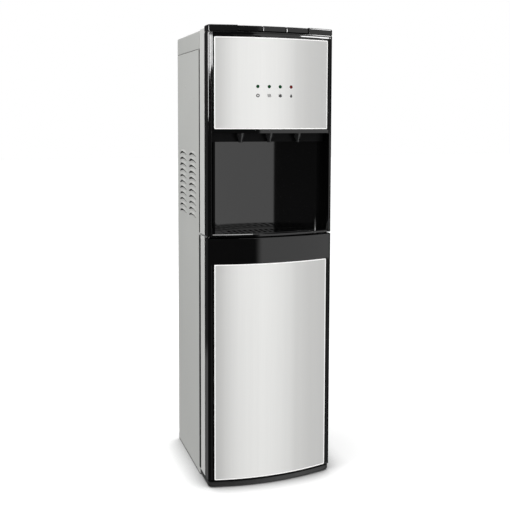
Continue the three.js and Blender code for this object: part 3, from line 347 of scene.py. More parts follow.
GLOSS = dict(base=(0.0016, 0.0016, 0.0017), rough=0.05, grain=9, fine=40, bump=0.012, tint=0.2,
             rough_spread=0.03, distance=0.0006)
FINISHES = {
    "painted_steel": dict(base=(0.44, 0.445, 0.43), rough=0.45, grain=4, fine=1400, bump=0.10, tint=0.02),
    "silver_plastic": dict(base=(0.46, 0.465, 0.45), rough=0.4, metal=0.1, grain=6, fine=2200, bump=0.08,
                           tint=0.02),
    "gloss_black": GLOSS,
    "matt_black": dict(base=(0.006, 0.006, 0.0063), rough=0.42, grain=30, fine=1500, bump=0.2, tint=0.15),
    "dark_grey": dict(base=(0.035, 0.035, 0.037), rough=0.25, grain=30, fine=1500, bump=0.12),
    "foot_rubber": dict(base=(0.02, 0.02, 0.02), rough=0.8, grain=50, bump=0.3, tint=0.15),
    "zinc_steel": dict(base=(0.50, 0.51, 0.53), rough=0.38, metal=0.6, grain=26, fine=300, tint=0.12,
                       rough_spread=0.16),
    "tank_steel": dict(base=(0.60, 0.60, 0.59), rough=0.3, metal=0.9, grain=(6, 6, 220), fine=500,
                       bump=0.03),
    "insulation_foam": dict(base=(0.82, 0.79, 0.68), rough=0.9, grain=40, fine=420, bump=0.6, tint=0.08,
                            distance=0.0008),
    "clear_hose": dict(base=(0.78, 0.81, 0.82), rough=0.28, grain=30, fine=200, bump=0.04, tint=0.05),
    "green_lens": dict(base=(0.001, 0.045, 0.012), rough=0.35, grain=200, fine=600, bump=0.02, ior=1.25),
    "red_plastic": dict(base=(0.13, 0.002, 0.003), rough=0.35, ior=1.25),
    "circuit_board": dict(base=(0.04, 0.20, 0.09), rough=0.45, grain=(160, 40, 160), fine=700, bump=0.2,
                          tint=0.3),
    "white_plastic": dict(base=(0.80, 0.80, 0.78), rough=0.4, grain=20, fine=1500, bump=0.08, tint=0.03),
    # The panels' bevelled edge: near white, a painted highlight along it.
    "painted_edge_highlight": dict(base=(0.93, 0.93, 0.92), rough=0.3, metal=0.1, grain=(40, 40, 4), fine=1200,
                          bump=0.04, tint=0.02),
    # Lighter copy of the silver plastic for the front strip and the door's return: a painted highlight.
    "silver_painted_highlight": dict(base=(0.63, 0.635, 0.62), rough=0.34, metal=0.15, grain=6, fine=2200, bump=0.08,
                          tint=0.02),
    # Black for painted shade: strips in the seams and crescents below the louvres.
    "painted_shade_black": dict(base=(0.006, 0.006, 0.006), rough=0.7, grain=50, bump=0.3, tint=0.2),
    "print_ink": dict(base=(0.012, 0.012, 0.013), rough=0.5, grain=300, fine=1600),
    "plinth_grain": dict(base=(0.016, 0.016, 0.016), rough=0.4, grain=240, fine=700, bump=0.5, tint=0.35,
                         distance=0.0003),
    "grille_black": dict(base=(0.002, 0.002, 0.0021), rough=0.1, fine=600, bump=0.03, tint=0.2),
    "lock_red": dict(base=(0.62, 0.015, 0.015), rough=0.25),
    "bay_black": {**GLOSS, "ior": 1.58},
    "key_black": dict(base=(0.0065, 0.0065, 0.0067), rough=0.1, grain=20, fine=300, bump=0.02, tint=0.15,
                      rough_spread=0.04, ior=1.4),
    "nozzle_black": dict(base=(0.012, 0.012, 0.0125), rough=0.22, fine=600, tint=0.2),
    "beam_black": dict(base=(0.004, 0.004, 0.0042), rough=0.3, grain=30, bump=0.1, tint=0.2, ior=1.12),
    "screw_zinc": dict(base=(0.62, 0.62, 0.6), rough=0.25, metal=0.85, grain=200, bump=0.08),
}
MATERIAL = {name: moulded(f"{name}_finish", **values) for name, values in FINISHES.items()}
MATERIAL["front_steel"] = brushed_steel("front_steel_finish")
# The door's return takes the lighter silver, a painted highlight.
NODE_FINISH = {"spout_beam": "beam_black", "door_return": "silver_painted_highlight", "child_lock": "lock_red"}


def dress_cad_nodes():
    slots = {row["node"]: row["material_slot"] for row in frame["record"]["subparts"]}
    for node, carried in frame["nodes"].items():
        material = MATERIAL[NODE_FINISH.get(node, slots[node])]
        if not carried.material_slots:
            carried.data.materials.append(material)
        for place in carried.material_slots:
            place.material = material


# ------ mesh helpers
def mesh_from(bm):
    bmesh.ops.recalc_face_normals(bm, faces=bm.faces)
    mesh = bpy.data.meshes.new("made")
    bm.to_mesh(mesh)
    bm.free()
    return mesh


def gathered(meshes):
    """Several closed meshes in one, without joining them."""
    bm = bmesh.new()
    for mesh in meshes:
        bm.from_mesh(mesh)
    return mesh_from(bm)


def stacked(rings):
    """Closed solid through rings of equal count, each a list of points in mm."""
    bm = bmesh.new()
    made = [[bm.verts.new(Vector(point) * MM) for point in ring] for ring in rings]
    count = len(made[0])
    for lower, upper in zip(made, made[1:]):
        for i in range(count):
            j = (i + 1) % count
            bm.faces.new((lower[i], lower[j], upper[j], upper[i]))
    bm.faces.new(made[0])
    bm.faces.new(made[-1])
    return mesh_from(bm)


def prism(points, low, high, place):
    """Closed prism of an outline; place(a, b, c) turns outline and height into x, y, z."""
    return stacked([[place(a, b, level) for a, b in points] for level in (low, high)])


def prism_z(points, z0, z1):
    return prism(points, z0, z1, lambda a, b, c: (a, b, c))


def prism_y(points, y0, y1):
    return prism(points, y0, y1, lambda a, b, c: (a, c, b))


def prism_x(points, x0, x1):
    return prism(points, x0, x1, lambda a, b, c: (c, a, b))


def block(x0, x1, y0, y1, z0, z1):
    return prism_z([(x0, y0), (x1, y0), (x1, y1), (x0, y1)], z0, z1)


def side_block(side, outer, inner, y0, y1, z0, z1):
    """Block at one side wall; outer and inner are distances beyond the half width."""
    x0, x1 = sorted((side * (HALF + outer), side * (HALF + inner)))
    return block(x0, x1, y0, y1, z0, z1)


def lathe(profile, x, y, sides=48):
    """Turned about an upright axis; profile lists radius and height from axis to axis or as a loop."""
    bm = bmesh.new()
    closed = profile[0] == profile[-1]
    points = profile[:-1] if closed else profile
    rings = []
    for r, z in points:
        count = 1 if r < 1e-6 else sides
        rings.append([bm.verts.new(Vector((*offset, z)) * MM) for offset in circle(x, y, r, count)])
    pairs = list(zip(rings, rings[1:])) + ([(rings[-1], rings[0])] if closed else [])
    for a, b in pairs:
        for k in range(sides):
            loop = [a[k % len(a)], a[(k + 1) % len(a)], b[(k + 1) % len(b)], b[k % len(b)]]
            corners = list(dict.fromkeys(loop))
            if len(corners) > 2:
                bm.faces.new(corners)
    return mesh_from(bm)


def rod_z(x, y, radius, z0, z1, sides=24):
    """Solid round rod that stands upright."""
    return lathe([(0, z0), (radius, z0), (radius, z1), (0, z1)], x, y, sides)


def lathe_y(profile, x, z, sides=32):
    """Turned about an axis along Y; profile lists radius and Y."""
    mesh = lathe(profile, 0, 0, sides)
    mesh.transform(Matrix.Translation((x * MM, 0, z * MM)) @ Matrix.Rotation(math.radians(-90), 4, "X"))
    return mesh


def stood_on(mesh, place, normal):
    """Turns what was made along Z to the normal of the face it stands on."""
    turn = Vector(normal).to_track_quat("Z", "Y").to_matrix().to_4x4()
    mesh.transform(Matrix.Translation(Vector(place) * MM) @ turn)
    return mesh


def combine(base, others, operation):
    """Booleans of closed meshes, returned as a new mesh."""
    target = bpy.data.objects.new("made", base)
    bpy.context.collection.objects.link(target)
    tools = []
    for other in others:
        tool = bpy.data.objects.new("tool", other)
        bpy.context.collection.objects.link(tool)
        tools.append(tool)
        modifier = target.modifiers.new("join", "BOOLEAN")
        modifier.operation = operation
        modifier.object = tool
        modifier.solver = "MANIFOLD"
    graph = bpy.context.evaluated_depsgraph_get()
    result = bpy.data.meshes.new_from_object(target.evaluated_get(graph))
    for used in [target, *tools]:
        mesh = used.data
        bpy.data.objects.remove(used)
        bpy.data.meshes.remove(mesh)
    return result


def cut(base, *others):
    return combine(base, others, "DIFFERENCE")


def join(base, *others):
    return combine(base, others, "UNION")


def common(base, *others):
    return combine(base, others, "INTERSECT")


SHARP_ANGLE = 32.0
FLAT_ANGLE = math.radians(0.4)
FINE_CREASE = 3.0


def smooth_faces(mesh, crease):
    """Merges doubles and flat neighbours and smooths all but the edges above the crease angle."""
    bm = bmesh.new()
    bm.from_mesh(mesh)
    bmesh.ops.remove_doubles(bm, verts=bm.verts, dist=2e-6)
    bmesh.ops.dissolve_degenerate(bm, edges=bm.edges, dist=1e-6)
    bmesh.ops.dissolve_limit(bm, angle_limit=FLAT_ANGLE, verts=bm.verts, edges=bm.edges)
    for face in bm.faces:
        face.smooth = True
    for edge in bm.edges:
        edge.smooth = len(edge.link_faces) == 2 and edge.calc_face_angle(0.0) < math.radians(crease)
    bm.to_mesh(mesh)
    bm.free()


def soften_edges(made, width, segments):
    soften = made.modifiers.new("edge", "BEVEL")
    soften.width = width * MM
    soften.segments = segments
    soften.limit_method = "ANGLE"
    soften.angle_limit = math.radians(SHARP_ANGLE)
    soften.harden_normals = True
    soften.use_clamp_overlap = True


def piece(name, mesh, slot, body, *nodes, bevel=0, segments=2, crease=SHARP_ANGLE, finish=None):
    """A finished piece: smooth faces, softened edges, its material, its body and the nodes it replaces."""
    smooth_faces(mesh, crease)
    mesh.materials.clear()
    mesh.materials.append(MATERIAL[finish or slot])
    made = bpy.data.objects.new(name, mesh)
    bpy.context.collection.objects.link(made)
    if bevel:
        soften_edges(made, bevel, segments)
    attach(made, body)
    if nodes:
        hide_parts(*nodes)


# ------ outlines
def spread(start, end, steps):
    """Evenly spaced values from start to end, both included."""
    return [start + (end - start) * k / steps for k in range(steps + 1)]


def arc(a, b, radius, degrees):
    """Points of a circle at the given angles."""
    return [(a + radius * math.cos(math.radians(d)), b + radius * math.sin(math.radians(d))) for d in degrees]


def circle(a, b, radius, sides=24):
    return arc(a, b, radius, [360 * k / sides for k in range(sides)])


def quadratic(a, b, c, sides=10):
    line = []
    for i in range(sides):
        t = i / sides
        line.append(tuple((1 - t) ** 2 * a[k] + 2 * t * (1 - t) * b[k] + t * t * c[k] for k in (0, 1)))
    return line


def mirrored(line):
    """A line's reflection in the middle plane, run through backwards."""
    return [(-x, y) for x, y in reversed(line)]


def rounded_rectangle(half, low, high, radius):
    """As wide as twice the half, from low to high, with all corners rounded."""
    corners = ((half - radius, low + radius, -90), (half - radius, high - radius, 0),
               (-half + radius, high - radius, 90), (-half + radius, low + radius, 180))
    points = []
    for a, b, start in corners:
        points += arc(a, b, radius, range(start, start + 91, 15))
    return points


def arch(half, z0, z1, radius):
    """Upright outline with both upper corners rounded."""
    curve = quadratic((-half, z1 - radius), (-half, z1), (-half + radius, z1), 8)
    right_to_left = [(-half + radius, z1), *reversed(curve), (-half, z0)]
    return [*mirrored(right_to_left), *right_to_left]


def bow(x, inset=0.0):
    """Y of the bowed front, or of the surface that lies inset behind it."""
    r = BOW_RADIUS - inset
    return BOW_CENTRE - math.sqrt(r * r - x * x)


def bow_line(x0, x1, inset, sides=BOW_STEPS):
    return [(x, bow(x, inset)) for x in spread(x0, x1, sides)]


def front_plan(half, back, inset, corner):
    side = bow(half, inset)
    start = half - corner
    left = quadratic((-half, side + corner), (-half, side), (-start, bow(start, inset)))
    return [(-half, back), *left, *bow_line(-start, start, inset), *mirrored(left), (half, back)]


def hollow_plan(back, clear=0.0):
    """Outline of the room behind the wall of a front moulding."""
    return front_plan(HALF - WALL - clear, back, WALL + 0.4 + clear, INNER_CORNER)


def ringed(half, back, inset, corner, levels):
    """Bowed block whose outline shrinks by the given amount at each level."""
    return stacked([[(x, y, z) for x, y in front_plan(half - shrink, back, inset + shrink, corner)]
                    for z, shrink in levels])


def bow_strip(half, outer, inner, z0, z1):
    return prism_z([*bow_line(-half, half, outer), *reversed(bow_line(-half, half, inner))], z0, z1)


def bay_plan(grow, front):
    """The bay from its front edges round its corners to its gently curved back wall."""
    half = BAY_HALF - 0.5 + grow
    back = BAY_BACK + grow
    knee = BAY_HALF - 32.5
    wall = [(x, back - x * x / (2 * BAY_WALL_RADIUS)) for x in spread(knee, -knee, 40)]
    knee_y = wall[0][1]
    right = quadratic((half, knee_y - 42), (half, knee_y - 6), (knee, knee_y), 14)
    return list(reversed([(half, front), *right, *wall, *mirrored(right), (-half, front)]))


def tray_plan(grow):
    """The drip tray's bowl, with its rear corners cut."""
    half = TRAY_HALF + grow
    back = BAY_BACK - 19.5 + grow
    inset = 14 - grow
    side = bow(half, inset) + 4
    front = bow_line(-half + 4, half - 4, inset, 24)
    return [(-half, back - 8), (-half, side), *front, (half, side), (half, back - 8), (half - 8, back),
            (-half + 8, back)]


def key_plan(x0, x1, setback, back):
    return [*bow_line(x0, x1, setback, 16), (x1, back), (x0, back)]


# ------ bowed mouldings
def profile_depth(profile, distance):
    """Depth of a moulding's cross-section at a distance from the edge."""
    for (start, deep), (end, next_deep) in zip(profile, profile[1:]):
        if distance <= end:
            return deep + (next_deep - deep) * (distance - start) / (end - start)
    return profile[-1][1]


def blend_of(value, start, end):
    return min(1.0, max(0.0, (value - start) / (end - start)))


def bowed_block(depth, levels):
    """Block with the bowed front, sunk by depth(distance from the side, height)."""
    steps = sorted({start for start, _ in (*STILE_PROFILE, *CORNER_PROFILE)})
    left = [-HALF + step for step in steps]
    middle = spread(left[-1], -left[-1], BOW_STEPS)[1:-1]
    across = [*left, *middle, *[-x for x in reversed(left)]]
    rings = []
    for z in levels:
        front = [(x, bow(x) + depth(HALF - abs(x), z), z) for x in across]
        rings.append([(-HALF, MOULDING_BACK, z), *front, (HALF, MOULDING_BACK, z)])
    return stacked(rings)


def side_depth(side, share):
    """Stile moulding for share 1, a plain rounded corner for share 0."""
    corner = profile_depth(CORNER_PROFILE, side)
    if side > STILE_PROFILE[-1][0]:
        return 0.0
    return corner + (profile_depth(STILE_PROFILE, side) - corner) * share


def bezel_depth(side, z):
    """Stiles and top rail above; below, plain corners and the chamfered edges of the bay's opening."""
    bay_side = HALF - BAY_HALF
    share = blend_of(z, BAY_LOW_BLEND, BAY_HIGH_BLEND)
    rail = profile_depth(TOP_PROFILE, BEZEL_TOP - z) if BEZEL_TOP - z < TOP_PROFILE[-1][0] else 0.0
    flare = BAY_CHAMFER - (bay_side - side) if bay_side - BAY_CHAMFER < side < bay_side + 1 else 0.0
    return max(side_depth(side, share), rail, flare * (1 - share))


def make_bezel():
    low = spread(UPPER_BOTTOM, BAY_LOW_BLEND, 4)
    rise = spread(BAY_LOW_BLEND, BAY_HIGH_BLEND, 4)[1:]
    high = spread(FASCIA_BOTTOM + 20, FASCIA_TOP - 10, 4)
    top = [BEZEL_TOP - step for step, _ in reversed(TOP_PROFILE)]
    outer = bowed_block(bezel_depth, [*low, *rise, *high, *top])
    inner = prism_z(hollow_plan(MOULDING_BACK + 1), UPPER_BOTTOM - 1, BEZEL_TOP + 1)
    seat = bow_strip(PANEL_HALF + RECESS, -4, SKIN + 0.5, FASCIA_BOTTOM - 2, FASCIA_TOP + RECESS)
    window_half = PANEL_HALF - 17.5
    window = block(-window_half, window_half, BEFORE, COLLAR_FRONT - 8, FASCIA_BOTTOM + 30, FASCIA_TOP - 20)
    bay = prism_y(arch(BAY_HALF, UPPER_BOTTOM - 5, BAY_TOP, 5), BEFORE, COLLAR_FRONT - 6)
    piece("bezel_moulding", cut(outer, inner, seat, window, bay), "gloss_black", "cabinet", "bezel",
          bevel=0.7, segments=3, crease=FINE_CREASE)


def panel_field(shrink, z0, z1, radius):
    """Tool that leaves a rounded field of a steel panel, smaller all round by the shrink."""
    field = rounded_rectangle(PANEL_HALF - shrink, z0 + shrink, z1 - shrink, radius)
    return prism_y(field, BEFORE, COLLAR_FRONT + 2)


def make_panel(node, body, z0, z1, holes):
    """Satin sheet and the bevelled edge round it, whose near-white colour is a painted highlight."""
    strip = bow_strip(PANEL_HALF, SHEET_LIFT, SHEET_LIFT + SKIN, z0, z1)
    sheet = cut(common(strip, panel_field(TRIM, z0, z1, 1.2)), *holes)
    piece(f"{node}_sheet", sheet, "front_steel", body, node, bevel=0.12)
    ring = bow_strip(PANEL_HALF, TRIM_LIFT, SHEET_LIFT + SKIN, z0, z1)
    edge = cut(common(ring, panel_field(0, z0, z1, 2.2)), panel_field(TRIM - 0.06, z0, z1, 1.2))
    piece(f"{node}_edge", edge, "front_steel", body, bevel=0.45, segments=3, finish="painted_edge_highlight")


def make_skins():
    radius = LENS_RADIUS + 0.2
    tool = [(0, BEFORE), (radius, BEFORE), (radius, COLLAR_FRONT), (0, COLLAR_FRONT)]
    holes = [lathe_y(tool, middle_of(led, X), LED_Z) for led in LEDS]
    make_panel("control_fascia", "cabinet", FASCIA_BOTTOM, FASCIA_TOP, holes)
    make_panel("door_skin", "door", DOOR_PANEL_BOTTOM, DOOR_PANEL_TOP, [])


# ------ indicator lenses and their marks
def make_lenses():
    for led, slot in zip(LEDS, ("green_lens", "green_lens", "green_lens", "red_plastic")):
        x = middle_of(led, X)
        face = bow(x) + 0.05
        collar = face + 2.4
        rear = ends_of(led, Y)[HIGH]
        turns = spread(0, math.pi / 2, 6)
        dome = [(LENS_RADIUS * math.sin(a), face + LENS_HEIGHT * (1 - math.cos(a))) for a in turns]
        stalk = [(LENS_RADIUS, collar), (LENS_STALK, collar), (LENS_STALK, rear), (0, rear)]
        piece(f"{led}_lens", lathe_y([*dome, *stalk], x, LED_Z, 28), slot, "cabinet", led)


def arc_band(cx, cz, radius, width, start, end):
    """C-shaped band of an outline, angles in degrees."""
    angles = spread(start, end, 20)
    return [*arc(cx, cz, radius + width / 2, angles), *arc(cx, cz, radius - width / 2, reversed(angles))]


def bar(cx, cz, length, width, turn):
    c, s = math.cos(math.radians(turn)), math.sin(math.radians(turn))
    corners = ((-length, -width), (length, -width), (length, width), (-length, width))
    return [(cx + (a * c - b * s) / 2, cz + (a * s + b * c) / 2) for a, b in corners]


def wave(cx, z0, z1, width, swing=0.55):
    steps = 12
    line = [(cx + math.sin(k / steps * 2 * math.pi) * swing, z) for k, z in enumerate(spread(z0, z1, steps))]
    return [(a - width / 2, z) for a, z in line] + [(a + width / 2, z) for a, z in reversed(line)]


def drop(cx, cz, size):
    return [*arc(cx, cz, size, range(-210, 31, 15)), (cx, cz + size * 2.3)]


def printed(outline, x):
    """A sign's outline as a thin layer on the bowed panel, below the lens at x."""
    moved = [(x + a, b) for a, b in outline]
    return prism(moved, INK_BOTTOM, INK_TOP, lambda a, b, c: (a, bow(a, c), b))


def make_marks():
    """Plain printed signs below the lenses: on, heating, cooling and empty."""
    z = LED_Z - SIGN_DROP
    signs = (
        ("power", [arc_band(0, z, 3.1, 1.9, 120, 420), bar(0, z + 2.3, 3.8, 1.8, 90)]),
        ("heating", [wave(a, z - 3.4, z + 3.4, 1.5) for a in (-2.8, 0.0, 2.8)]),
        ("cooling", [bar(0, z, 8.4, 2.3, turn) for turn in (90, 30, 150)]),
        ("empty", [drop(0, z - 1.4, 2.6)]),
    )
    for led, (name, outlines) in zip(LEDS, signs):
        prints = [printed(outline, middle_of(led, X)) for outline in outlines]
        # The bars of the star for cooling cross, so they are joined.
        mark = join(*prints) if name == "cooling" else gathered(prints)
        piece(f"mark_{name}", mark, "front_steel", "cabinet", finish="print_ink")


# ------ silver and cabinet pieces
def make_collar():
    outer = prism_y(arch(HALF, UPPER_BOTTOM, COLLAR_TOP, 5), COLLAR_FRONT, FRONT_BACK)
    inner = prism_y(arch(HALF - WALL, UPPER_BOTTOM - 1, COLLAR_TOP - WALL, 3), COLLAR_FRONT - 1,
                    FRONT_BACK + 1)
    # The collar's silver is painted lighter than the cover's, a painted highlight.
    piece("upper_collar_moulding", cut(outer, inner), "silver_plastic", "cabinet", "upper_collar", bevel=1.0,
          segments=3, finish="silver_painted_highlight")


def make_cover():
    outer = prism_y(arch(HALF, COVER_SEAM, COVER_TOP, 5), CABINET_FRONT, CABINET_BACK)
    inner = prism_y(arch(HALF - WALL, COVER_SEAM - 1, COVER_TOP - WALL, 3), CABINET_FRONT - 5,
                    CABINET_BACK - WALL)
    dish = rounded_rectangle(HALF - 16, CABINET_FRONT + 10, CABINET_BACK - 12, 8)
    tongues = [block(x - 0.8, x + 0.8, CABINET_FRONT + 6, CABINET_BACK - 10, COVER_SEAM - 8, COVER_SEAM + 4)
               for x in (-TONGUE_X, TONGUE_X)]
    shell = join(cut(outer, inner, prism_z(dish, COVER_TOP - 1, COVER_TOP + 1)), *tongues)
    piece("top_cover_moulding", shell, "silver_plastic", "cabinet", "top_cover", bevel=0.8)


def seam_shade_strip(side, width, z0, z1):
    """Strip of painted shade in the seam between the front and a side panel, cut where the panel stands."""
    end = CABINET_FRONT + width
    lip = side_block(side, 0.18, -2.2, CABINET_FRONT - 1.2, end, z0, z1)
    return cut(lip, side_block(side, 0.02, -3, CABINET_FRONT - 0.03, end + 1, z0 - 1, z1 + 1))


# Each strip is black, painted shade in a seam.
def shade_strip_piece(name, mesh, body="cabinet", bevel=0):
    piece(name, mesh, "foot_rubber", body, bevel=bevel, finish="painted_shade_black")


def make_seam_shade():
    """Black strips of painted shade in the seams: beside both side panels, at the door, along the base and
    below the cover.
    """
    start, end = CABINET_FRONT + 1, CABINET_BACK - 1
    for side, name in SIDES:
        seam = gathered([seam_shade_strip(side, UPPER_SEAM_SHADE, UPPER_BOTTOM + 1, COVER_SEAM - 2),
                         seam_shade_strip(side, LOWER_SEAM_SHADE, PLINTH_TOP + 4, DOOR_TOP - 1)])
        door = side_block(side, 0.18, 0.02, FRONT_BACK - 6.5, FRONT_BACK, DOOR_BOTTOM + 2, DOOR_TOP - 1)
        base = side_block(side, -0.1, -1.5, start, end, PLINTH_BOTTOM - 0.4, FOOT_SEAT - 0.05)
        cover = side_block(side, -0.35, -1.0, start, end, SIDE_TOP + 0.05, COVER_SEAM - 0.05)
        shade_strip_piece(f"seam_shade_strip_{name}", seam)
        shade_strip_piece(f"door_shade_strip_{name}", door, "door")
        shade_strip_piece(f"base_shade_strip_{name}", base)
        shade_strip_piece(f"cover_shade_strip_{name}", cover, bevel=0.1)


def louvre_shade_plan(middle, low):
    """Crescent of painted shade below the arched lip of a louvre."""
    steps = spread(-1, 1, 16)
    upper = [(middle + LOUVRE_HALF * t, low + LOUVRE_ARCH * (1 - t * t)) for t in steps]
    lower = [(y, z - 0.1 - LOUVRE_SHADE_DEPTH * math.sqrt(1 - t * t)) for t, (y, z) in zip(steps, upper)]
    return [*upper, *reversed(lower)]


def make_louvre_shade():
    """Painted shade: black crescents on the side panels below the louvres' lips."""
    plans = [louvre_shade_plan(middle, LOUVRE_LOW + row * LOUVRE_PITCH)
             for middle in LOUVRE_COLUMNS for row in range(LOUVRE_ROWS)]
    for side, name in SIDES:
        x0, x1 = sorted((side * (HALF - 0.2), side * (HALF + 0.12)))
        shade_crescents = gathered([prism_x(plan, x0, x1) for plan in plans])
        piece(f"louvre_shade_{name}", shade_crescents, "matt_black", "cabinet", finish="painted_shade_black")


def back_screw(name, x, z):
    """Pan head with a cross recess, on the back panels."""
    head = lathe([(0, 0), (3.6, 0), (3.6, 0.7), (3.2, 1.35), (2.2, 1.8), (0, 2.0)], 0, 0, 24)
    length, width, floor, top = 2.0, 0.35, 1.0, 3
    recess = [block(-a, a, -b, b, floor, top) for a, b in ((length, width), (width, length))]
    back = ends_of("back_panel_upper", Y)[HIGH] + 0.02
    mesh = stood_on(cut(head, *recess), (x, back, z), (0, 1, 0))
    piece(name, mesh, "zinc_steel", "cabinet", finish="screw_zinc")


def side_plug(name, side, y, z):
    """Flat plug with a chamfered edge, in a side panel."""
    mesh = lathe([(0, 0), (2.6, 0), (2.6, 0.25), (1.9, 0.6), (0, 0.7)], 0, 0, 24)
    piece(name, stood_on(mesh, (side * (HALF + 0.02), y, z), (side, 0, 0)), "painted_steel", "cabinet")


def make_fasteners():
    levels = (PLINTH_TOP + 40, 250, 440, UPPER_BOTTOM + 14, 800, COVER_SEAM - 16)
    for side, name in SIDES:
        for k, z in enumerate(levels):
            back_screw(f"back_screw_{name[0]}{k}", side * (HALF - 9), z)
    for side, name in SIDES:
        for k, (y, z) in enumerate(PLUG_PLACES):
            side_plug(f"side_plug_{name}_{k}", side, y, z)


# ------ dispensing bay
def make_bay():
    front = bow(BAY_HALF, WALL)
    liner = prism_z(hollow_plan(BAY_BACK + 5, GAP), UPPER_BOTTOM - 1, BAY_TOP + 4)
    wall = cut(prism_z(bay_plan(2.2, front), UPPER_BOTTOM, BAY_TOP + 3),
               prism_z(bay_plan(0, front - 10), UPPER_BOTTOM - 1, BAY_TOP + 4))
    plan = [*bow_line(-BAY_HALF + 1, BAY_HALF - 1, 4), *reversed(bay_plan(1, front)[1:-1])]
    bowl_hole = prism_z(tray_plan(1), UPPER_BOTTOM - 1, UPPER_BOTTOM + 3)
    floor = cut(prism_z(plan, UPPER_BOTTOM, UPPER_BOTTOM + 2), bowl_hole)
    ceiling = prism_z(plan, BAY_TOP + 1, BAY_TOP + 3)
    holes = [rod_z(x, SPOUT_Y, SPOUT_HOLE, BAY_TOP - 1, BAY_TOP + 5) for x in SPOUT_X]
    shell = cut(join(common(wall, liner), floor, ceiling), *holes)
    piece("bay_shell_moulding", shell, "gloss_black", "cabinet", "bay_shell", bevel=0.3, finish="bay_black")


def make_nozzles():
    """Tapered spouts with a bore, flared below the ceiling, each with a neck above it."""
    neck_top = BAY_TOP + 9
    profile = [(3, SPOUT_TIP), (4.2, SPOUT_TIP), (4.8, SPOUT_TIP + 0.6), (5.3, SPOUT_TIP + 6),
               (9.8, BAY_TOP - 8), (10.3, BAY_TOP - 4), (10.4, BAY_TOP + 0.4), (7, BAY_TOP + 0.6),
               (7, neck_top), (3, neck_top), (3, SPOUT_TIP)]
    for node, x in zip(SPOUTS, SPOUT_X):
        piece(f"{node}_nozzle", lathe(profile, x, SPOUT_Y, 40), "dark_grey", "cabinet", node,
              finish="nozzle_black")


def rim_ring(z, shrink):
    """The tray's rim at one height; its front edge shrinks, its rear follows the bay's wall."""
    front = bow_line(-BAY_HALF + 2, BAY_HALF - 2, 1.2 + shrink)
    return [(x, y, z) for x, y in (*front, *reversed(bay_plan(-1, SPOUT_Y)[1:-1]))]


def make_tray():
    levels = ((RIM_BOTTOM, 0), (RIM_TOP - RIM_CHAMFER, 0), (RIM_TOP, RIM_CHAMFER))
    rim = stacked([rim_ring(z, shrink) for z, shrink in levels])
    lip = bow_strip(BAY_HALF - 2, 1.2, 3.5, UPPER_BOTTOM + 0.8, RIM_BOTTOM + 1)
    bowl = prism_z(tray_plan(0), TRAY_LOW, RIM_BOTTOM + 1)
    hollow = prism_z(tray_plan(-1.6), TRAY_LOW + 1.8, RIM_TOP + 1)
    seat = prism_z(tray_plan(3.4), RIM_TOP - 1.7, RIM_TOP + 1)
    tray = cut(join(rim, lip, bowl), hollow, seat)
    piece("drip_tray_moulding", tray, "gloss_black", "drip_tray", "drip_tray", bevel=0.3)


def make_grille():
    """Plate with two rows of slots and a bar between the rows."""
    z0, z1 = RIM_TOP - 5, RIM_TOP + 5
    reach = GRILLE_SLOTS // 2
    slots = []
    for i in range(-reach, reach + 1):
        x = i * TRAY_HALF / (reach + 1)
        slots.append(block(x - SLOT_HALF, x + SLOT_HALF, bow(x, 20), SPOUT_Y + 1, z0, z1))
        slots.append(block(x - SLOT_HALF, x + SLOT_HALF, SPOUT_Y + 7, BAY_BACK - 26.5, z0, z1))
    grille = cut(prism_z(tray_plan(3), RIM_TOP - 1.4, RIM_TOP + 0.6), *slots)
    piece("drip_grille_plate", grille, "matt_black", "drip_grille", "drip_grille", bevel=0.6, segments=3,
          finish="grille_black")


# ------ keys
def inward_moves(points):
    """For each corner of an outline, the move that takes both its sides inward by 1."""
    following = points[1:] + points[:1]
    area = sum(ax * by - bx * ay for (ax, ay), (bx, by) in zip(points, following))
    sign = 1 if area > 0 else -1
    sides = [Vector((ay - by, bx - ax)).normalized() * sign for (ax, ay), (bx, by) in zip(points, following)]
    moves = []
    for before, after in zip(sides[-1:] + sides[:-1], sides):
        middle = (before + after).normalized()
        moves.append(middle / max(0.35, middle.dot(before)))
    return moves


def padded_prism(points, z0, z1, radius):
    """Prism whose top edge is rounded by shrinking the outline."""
    moves = inward_moves(points)
    rings = [[(x, y, z0) for x, y in points]]
    for angle in spread(0, math.pi / 2, 5):
        shrink = radius * (1 - math.cos(angle))
        z = z1 - radius + radius * math.sin(angle)
        rings.append([(x + move.x * shrink, y + move.y * shrink, z) for (x, y), move in zip(points, moves)])
    return stacked(rings)


def deck_block():
    """Top moulding with a fine groove above the bezel and a rounded top edge, open below."""
    levels = (
        (DECK_BOTTOM, 0), (DECK_BOTTOM + 1.6, 0.55), (DECK_BOTTOM + 1.7, 1.1), (KEY_BOTTOM - 0.9, 1.1),
        (KEY_BOTTOM - 0.8, 0), (HEIGHT - 3, 0), (HEIGHT - 1.2, 0.6), (HEIGHT - 0.4, 1.3), (HEIGHT, 2.6),
    )
    outer = ringed(HALF, MOULDING_BACK, 0, FRONT_CORNER, levels)
    under = front_plan(HALF - WALL, MOULDING_BACK - 2.2, WALL, INNER_CORNER)
    return cut(outer, prism_z(under, DECK_BOTTOM - 1, HEIGHT - WALL))


